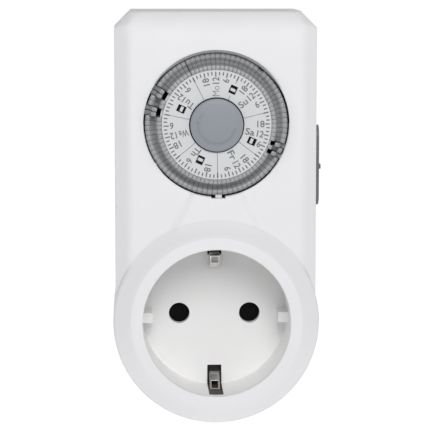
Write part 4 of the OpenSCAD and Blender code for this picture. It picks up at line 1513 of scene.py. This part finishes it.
    def build_knob(self) -> None:
        """Makes the knob and its arrow."""
        knob = turned_piece("dial_knob", self.knob_profile, 128)
        for vertex in knob.data.vertices:
            x, y, h = vertex.co
            vertex.co = (x, -h, y + DIAL_Z * MM)
        dress(knob, Stock.KNOB, "dial", ["centre_knob"])
        dress(self.arrow(), Stock.KNOB, "dial")

    def build_print(self) -> None:
        """Makes the ticks, the words and the lines between the days, of which one gives way to a window."""
        dress(TickRing().build(Stock.INK), Stock.INK, "dial")
        dress(self.words(), Stock.INK, "dial")
        for name, length, r, lines in (
            ("day_lines", 6.7, 10.65, (0, 1, 2, 4, 5, 6)), ("short_line_in", 1.1, 7.85, (3,)),
            ("short_line_out", 2.3, 12.85, (3,)),
        ):
            spots = [(r, -90 + self.print_turn + k * 360 / 7, 0.0) for k in lines]
            line = self.bars(name, (length, 0.14, 0.02), spots, Stock.INK, self.disc_v + 0.02)
            dress(line, Stock.INK, "dial")

    def build_windows(self) -> None:
        """Makes black floors of painted shade in the four windows, and the tabs that stand in them."""
        # Painted shade: a thin black block lies at the bottom of each window.
        dark = self.bars("window_recesses", (2.16, 1.86, 0.1), [(10.1, a, 0) for a in self.windows],
                         Stock.RECESS, self.disc_v - 1.08)
        dress(dark, Stock.RECESS, "dial")
        tabs = self.bars("window_tabs", (0.8, 1.4, 0.85), [(10.02, a, 0) for a in self.windows],
                         Stock.DIAL, self.disc_v - 0.25, 0.12)
        dress(tabs, Stock.DIAL, "dial")

    def build_shades(self) -> None:
        """Fills the disc's edge, and sets dark rings of painted shade behind the knob, the tappets and the
        opening.
        """
        for name, r, v, stock, body, slot in (
            ("disc_edge_fill", (14.2, 14.34), (46.8, 47.62), Stock.DIAL, "dial", "dial_white"),
            ("knob_gap_shade", (6.92, 7.18), (46.12, 47.3), Stock.RECESS, "dial", "smoke_grey"),
            ("hub_shade", (14.82, 14.94), (40.66, 46.0), Stock.RECESS, "dial", "smoke_grey"),
            ("flange_shade", (14.9, 18.3), (40.6, 40.63), Stock.RECESS, "dial", "smoke_grey"),
            ("opening_shade", (18.5, 22.0), (39.7, 40.3), Stock.GAP, "housing", "smoke_grey"),
        ):
            dress(ring_piece(name, r, v, DIAL_Z), stock, body)

    def build_catch(self) -> None:
        """Makes the small black catch at the opening's upper right."""
        for name, length, width, r, aside in (
            ("catch_back", 0.35, 1.4, 18.45, 0.0), ("catch_upper", 0.8, 0.35, 18.75, 0.55),
            ("catch_lower", 0.8, 0.35, 18.75, -0.55),
        ):
            part = self.bars(name, (length, width, 0.4), [(r, self.catch_angle, aside)], Stock.RECESS, 46.35)
            dress(part, Stock.RECESS, "housing")

    def strip(self) -> bpy.types.Object:
        """The grey strip over the upper part of the gap, with a flange that laps over the opening's lip.

        Returns:
            The strip, which is widest at the top.
        """
        first, last = self.strip_angles
        shape = bmesh.new()
        rows = []
        for a in np.linspace(first, last, 96):
            share = min((a - first) / 20, (last - a) / 24, 1.0)
            inner, outer, lift = 19.04 - 0.32 * share, 19.08 + 0.1 * share, 0.25 * share
            rows.append(self.row(shape, a, (
                (inner, 45.3), (inner + 0.02, 46.3), (inner + 0.14, 46.5), (outer - 0.05, 46.56, lift),
                (outer, 46.5, lift), (18.98, 46.4, 0.1), (18.96, 45.3, 0.1),
            )))
        loft(shape, rows)
        return made(shape, "dial_guard")

    def build(self) -> None:
        """Makes the dial's pieces."""
        disc = self.craft.edged("printed_disc", "dial_disc", 0.08, 2)
        dress(disc, Stock.DIAL, "dial", ["printed_disc"])
        self.build_knob()
        self.build_print()
        self.build_windows()
        self.build_shades()
        self.build_tappets()
        self.build_gaps()
        self.build_catch()
        dress(self.strip(), Stock.GUARD, "housing", ["opening_guard"])


# ---- studio ----


@dataclass
class Studio:
    """A plain pale floor, soft light and the photograph's viewpoint."""

    camera_at: tuple[float, float, float] = (-0.022389, -0.591969, 0.095363)
    aimed_at: tuple[float, float, float] = (-0.000394, -0.0465, 0.028436)
    lens: float = 175.55
    floor_z: float = -0.0272
    sky: float = 0.42
    sky_side: float = 1.9
    sky_top: float = 0.1
    sky_fall: float = 1.6
    floor_seen: float = 0.78
    floor_glow: float = 0.52

    def build_camera(self) -> None:
        """Sets the camera."""
        lens = bpy.data.cameras.new("camera")
        lens.lens = self.lens
        lens.sensor_fit = "HORIZONTAL"
        lens.sensor_width = 36
        lens.clip_start = 0.01
        camera = bpy.data.objects.new("camera", lens)
        bpy.context.scene.collection.objects.link(camera)
        camera.location = self.camera_at
        aim = np.array(self.aimed_at) - np.array(self.camera_at)
        flat = math.hypot(aim[0], aim[1])
        camera.rotation_euler = (math.pi / 2 + math.atan2(aim[2], flat), 0, math.atan2(-aim[0], aim[1]))
        bpy.context.scene.camera = camera

    def lamp(self, name: str, azimuth: float, elevation: float, distance: float, size: float,
             level: float) -> None:
        """Adds a square soft lamp that points at the object.

        Args:
            name: The lamp's name.
            azimuth: Where it stands: 0 is in front and 90 to the right, in degrees.
            elevation: Its height above the horizon, in degrees.
            distance: Its distance in metres.
            size: Its side in metres.
            level: The share of full light that it gives on a surface facing it.
        """
        light = bpy.data.lights.new(name, "AREA")
        light.size = size
        light.energy = level * math.pi ** 2 * distance ** 2
        lamp = bpy.data.objects.new(name, light)
        bpy.context.scene.collection.objects.link(lamp)
        a, e = math.radians(azimuth), math.radians(elevation)
        middle = (0.0, -0.03, 0.03)
        lamp.location = (middle[0] + distance * math.sin(a) * math.cos(e),
                         middle[1] - distance * math.cos(a) * math.cos(e), middle[2] + distance * math.sin(e))
        lamp.rotation_euler = (math.pi / 2 - e, 0, a)

    def build_floor(self) -> None:
        """Lays the floor, which looks white to the camera and keeps the object's shadow."""
        shape = bmesh.new()
        bmesh.ops.create_circle(shape, cap_ends=True, radius=30.0, segments=96)
        mesh = bpy.data.meshes.new("floor")
        shape.to_mesh(mesh)
        shape.free()
        floor = link("floor", mesh)
        for vertex in mesh.vertices:
            vertex.co.z = self.floor_z
        material = bpy.data.materials.new("floor_white")
        material.use_nodes = True
        material.node_tree.nodes.clear()
        graph = Graph(material.node_tree)
        seen = graph.seen()
        matte = graph.add("ShaderNodeBsdfDiffuse", None, {"Color": (0.9, 0.9, 0.9, 1)})
        glow = graph.add("ShaderNodeEmission", None, {"Color": (1, 1, 1, 1), "Strength": seen * 0.25 + 1.0})
        share = seen * (self.floor_seen - self.floor_glow) + self.floor_glow
        mixed = graph.add("ShaderNodeMixShader", None, {0: share, 1: matte.outputs[0], 2: glow.outputs[0]})
        graph.add("ShaderNodeOutputMaterial", None, {0: mixed.outputs[0]})
        mesh.materials.append(material)

    def build_sky(self) -> None:
        """Sets a pale surrounding, brighter on both sides and darker above, and white where it is seen."""
        world = bpy.data.worlds.new("sky")
        world.use_nodes = True
        world.node_tree.nodes.clear()
        graph = Graph(world.node_tree)
        place = graph.out("ShaderNodeTexCoord", output="Generated")
        way = graph.add("ShaderNodeSeparateXYZ", None, {0: place})
        across, up = Expr(graph, way.outputs[0]), Expr(graph, way.outputs[2])
        fall = graph.clamp(up * self.sky_fall)
        aside = across * across
        lit = (aside * aside * self.sky_side + self.sky) * (1.0 - fall) + fall * self.sky_top
        strength = graph.seen() * (1.0 - lit) + lit
        back = graph.add("ShaderNodeBackground", None, {0: (1, 1, 1, 1), 1: strength})
        graph.add("ShaderNodeOutputWorld", None, {0: back.outputs[0]})
        bpy.context.scene.world = world

    def build(self) -> None:
        """Makes the studio."""
        bpy.context.scene.view_settings.view_transform = "Standard"
        self.build_camera()
        self.build_floor()
        self.build_sky()
        self.lamp("key", 4, 32, 0.9, 0.45, 0.50)
        log.info("studio is set")


# ---- whole ----


PLAIN_NODES: dict[str, Stock] = {
    "shutter_spring": Stock.SPRING, "contact_carrier": Stock.CARRIER, "earth_pin_sleeve": Stock.BRASS,
    "live_contact": Stock.BRASS, "neutral_contact": Stock.BRASS, "live_feed_bar": Stock.BRASS,
    "live_switched_bar": Stock.BRASS, "neutral_bar": Stock.BRASS, "dial_wheel": Stock.DIAL,
    "dial_clip": Stock.SPRING, "dial_post": Stock.BRASS, "front_plate": Stock.ACETAL,
    "base_plate": Stock.ACETAL, "plate_pillars": Stock.ACETAL, "fixed_arbor": Stock.SPRING,
    "dial_pinion": Stock.BRASS, "clutch_spring": Stock.SPRING, "train_wheel_1": Stock.ACETAL,
    "train_wheel_2": Stock.ACETAL, "train_wheel_3": Stock.ACETAL, "train_wheel_4": Stock.ACETAL,
    "motor_rotor": Stock.MAGNET, "motor_cup": Stock.SPRING, "motor_bobbin": Stock.BOBBIN,
    "motor_winding": Stock.WINDING, "motor_pole_plate": Stock.SPRING, "motor_leads": Stock.LEAD,
    "cam_lever": Stock.LEVER, "lever_pivot_pin": Stock.ACETAL, "lever_spring": Stock.SPRING,
    "switch_plunger": Stock.DIAL, "switch_case": Stock.BOBBIN, "switch_case_lid": Stock.BOBBIN,
    "switch_blade": Stock.BRASS, "switch_fixed_contact": Stock.BRASS, "detent_spring": Stock.SPRING,
}

EDGED_NODES: tuple[tuple[str, str, str, Stock, str, float], ...] = (
    ("rear_cover", "rear_shell", "housing", Stock.HOUSING, "housing_white", 0.4),
    ("plug_body", "plug_shell", "housing", Stock.INSERT, "insert_white", 0.5),
    ("socket_insert", "socket_well", "housing", Stock.INSERT, "insert_white", 0.2),
    ("earth_bracket", "earth_clips", "housing", Stock.NICKEL, "nickel", 0.12),
    ("live_pin", "plug_pin_left", "housing", Stock.NICKEL, "nickel", 0.3),
    ("neutral_pin", "plug_pin_right", "housing", Stock.NICKEL, "nickel", 0.3),
    ("housing_screws", "rear_screws", "housing", Stock.SCREW, "screw_steel", 0.15),
    ("shutter", "hole_shutter", "shutter", Stock.SHUTTER, "shutter_black", 0.15),
    ("side_switch", "switch_slider", "side_switch", Stock.SWITCH, "switch_grey", 0.25),
)


def bend_clips(piece: bpy.types.Object) -> None:
    """Springs both earth clips a little downwards, as they have settled in use.

    Args:
        piece: The earth bracket's piece.
    """
    root_v, bend = 30.8, 1.5
    upper_drop, lower_drop = 3.0, 1.1
    for vertex in piece.data.vertices:
        share = min(max((-vertex.co.y / MM - root_v) / bend, 0.0), 1.0)
        vertex.co.z -= (upper_drop if vertex.co.z > 0 else lower_drop) * share * MM


def main() -> None:
    """Dresses the frame."""
    logging.basicConfig(level=logging.INFO, format="%(name)s: %(message)s")
    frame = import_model()
    studio = Studio()
    studio.build()
    craft = Craft(frame["nodes"])
    WellTrim().build()
    FrontShell().build()
    for node, name, body, stock, slot, edge in EDGED_NODES:
        piece = craft.edged(node, name, edge)
        if node == "earth_bracket":
            bend_clips(piece)
        dress(piece, stock, body, [node])
    Dial(craft, Stamp()).build()
    for node, stock in PLAIN_NODES.items():
        for held in frame["nodes"][node].material_slots:
            held.material = stock.material
        log.info("%s in %s", node, stock.value.name)


if __name__ == "__main__":
    main()
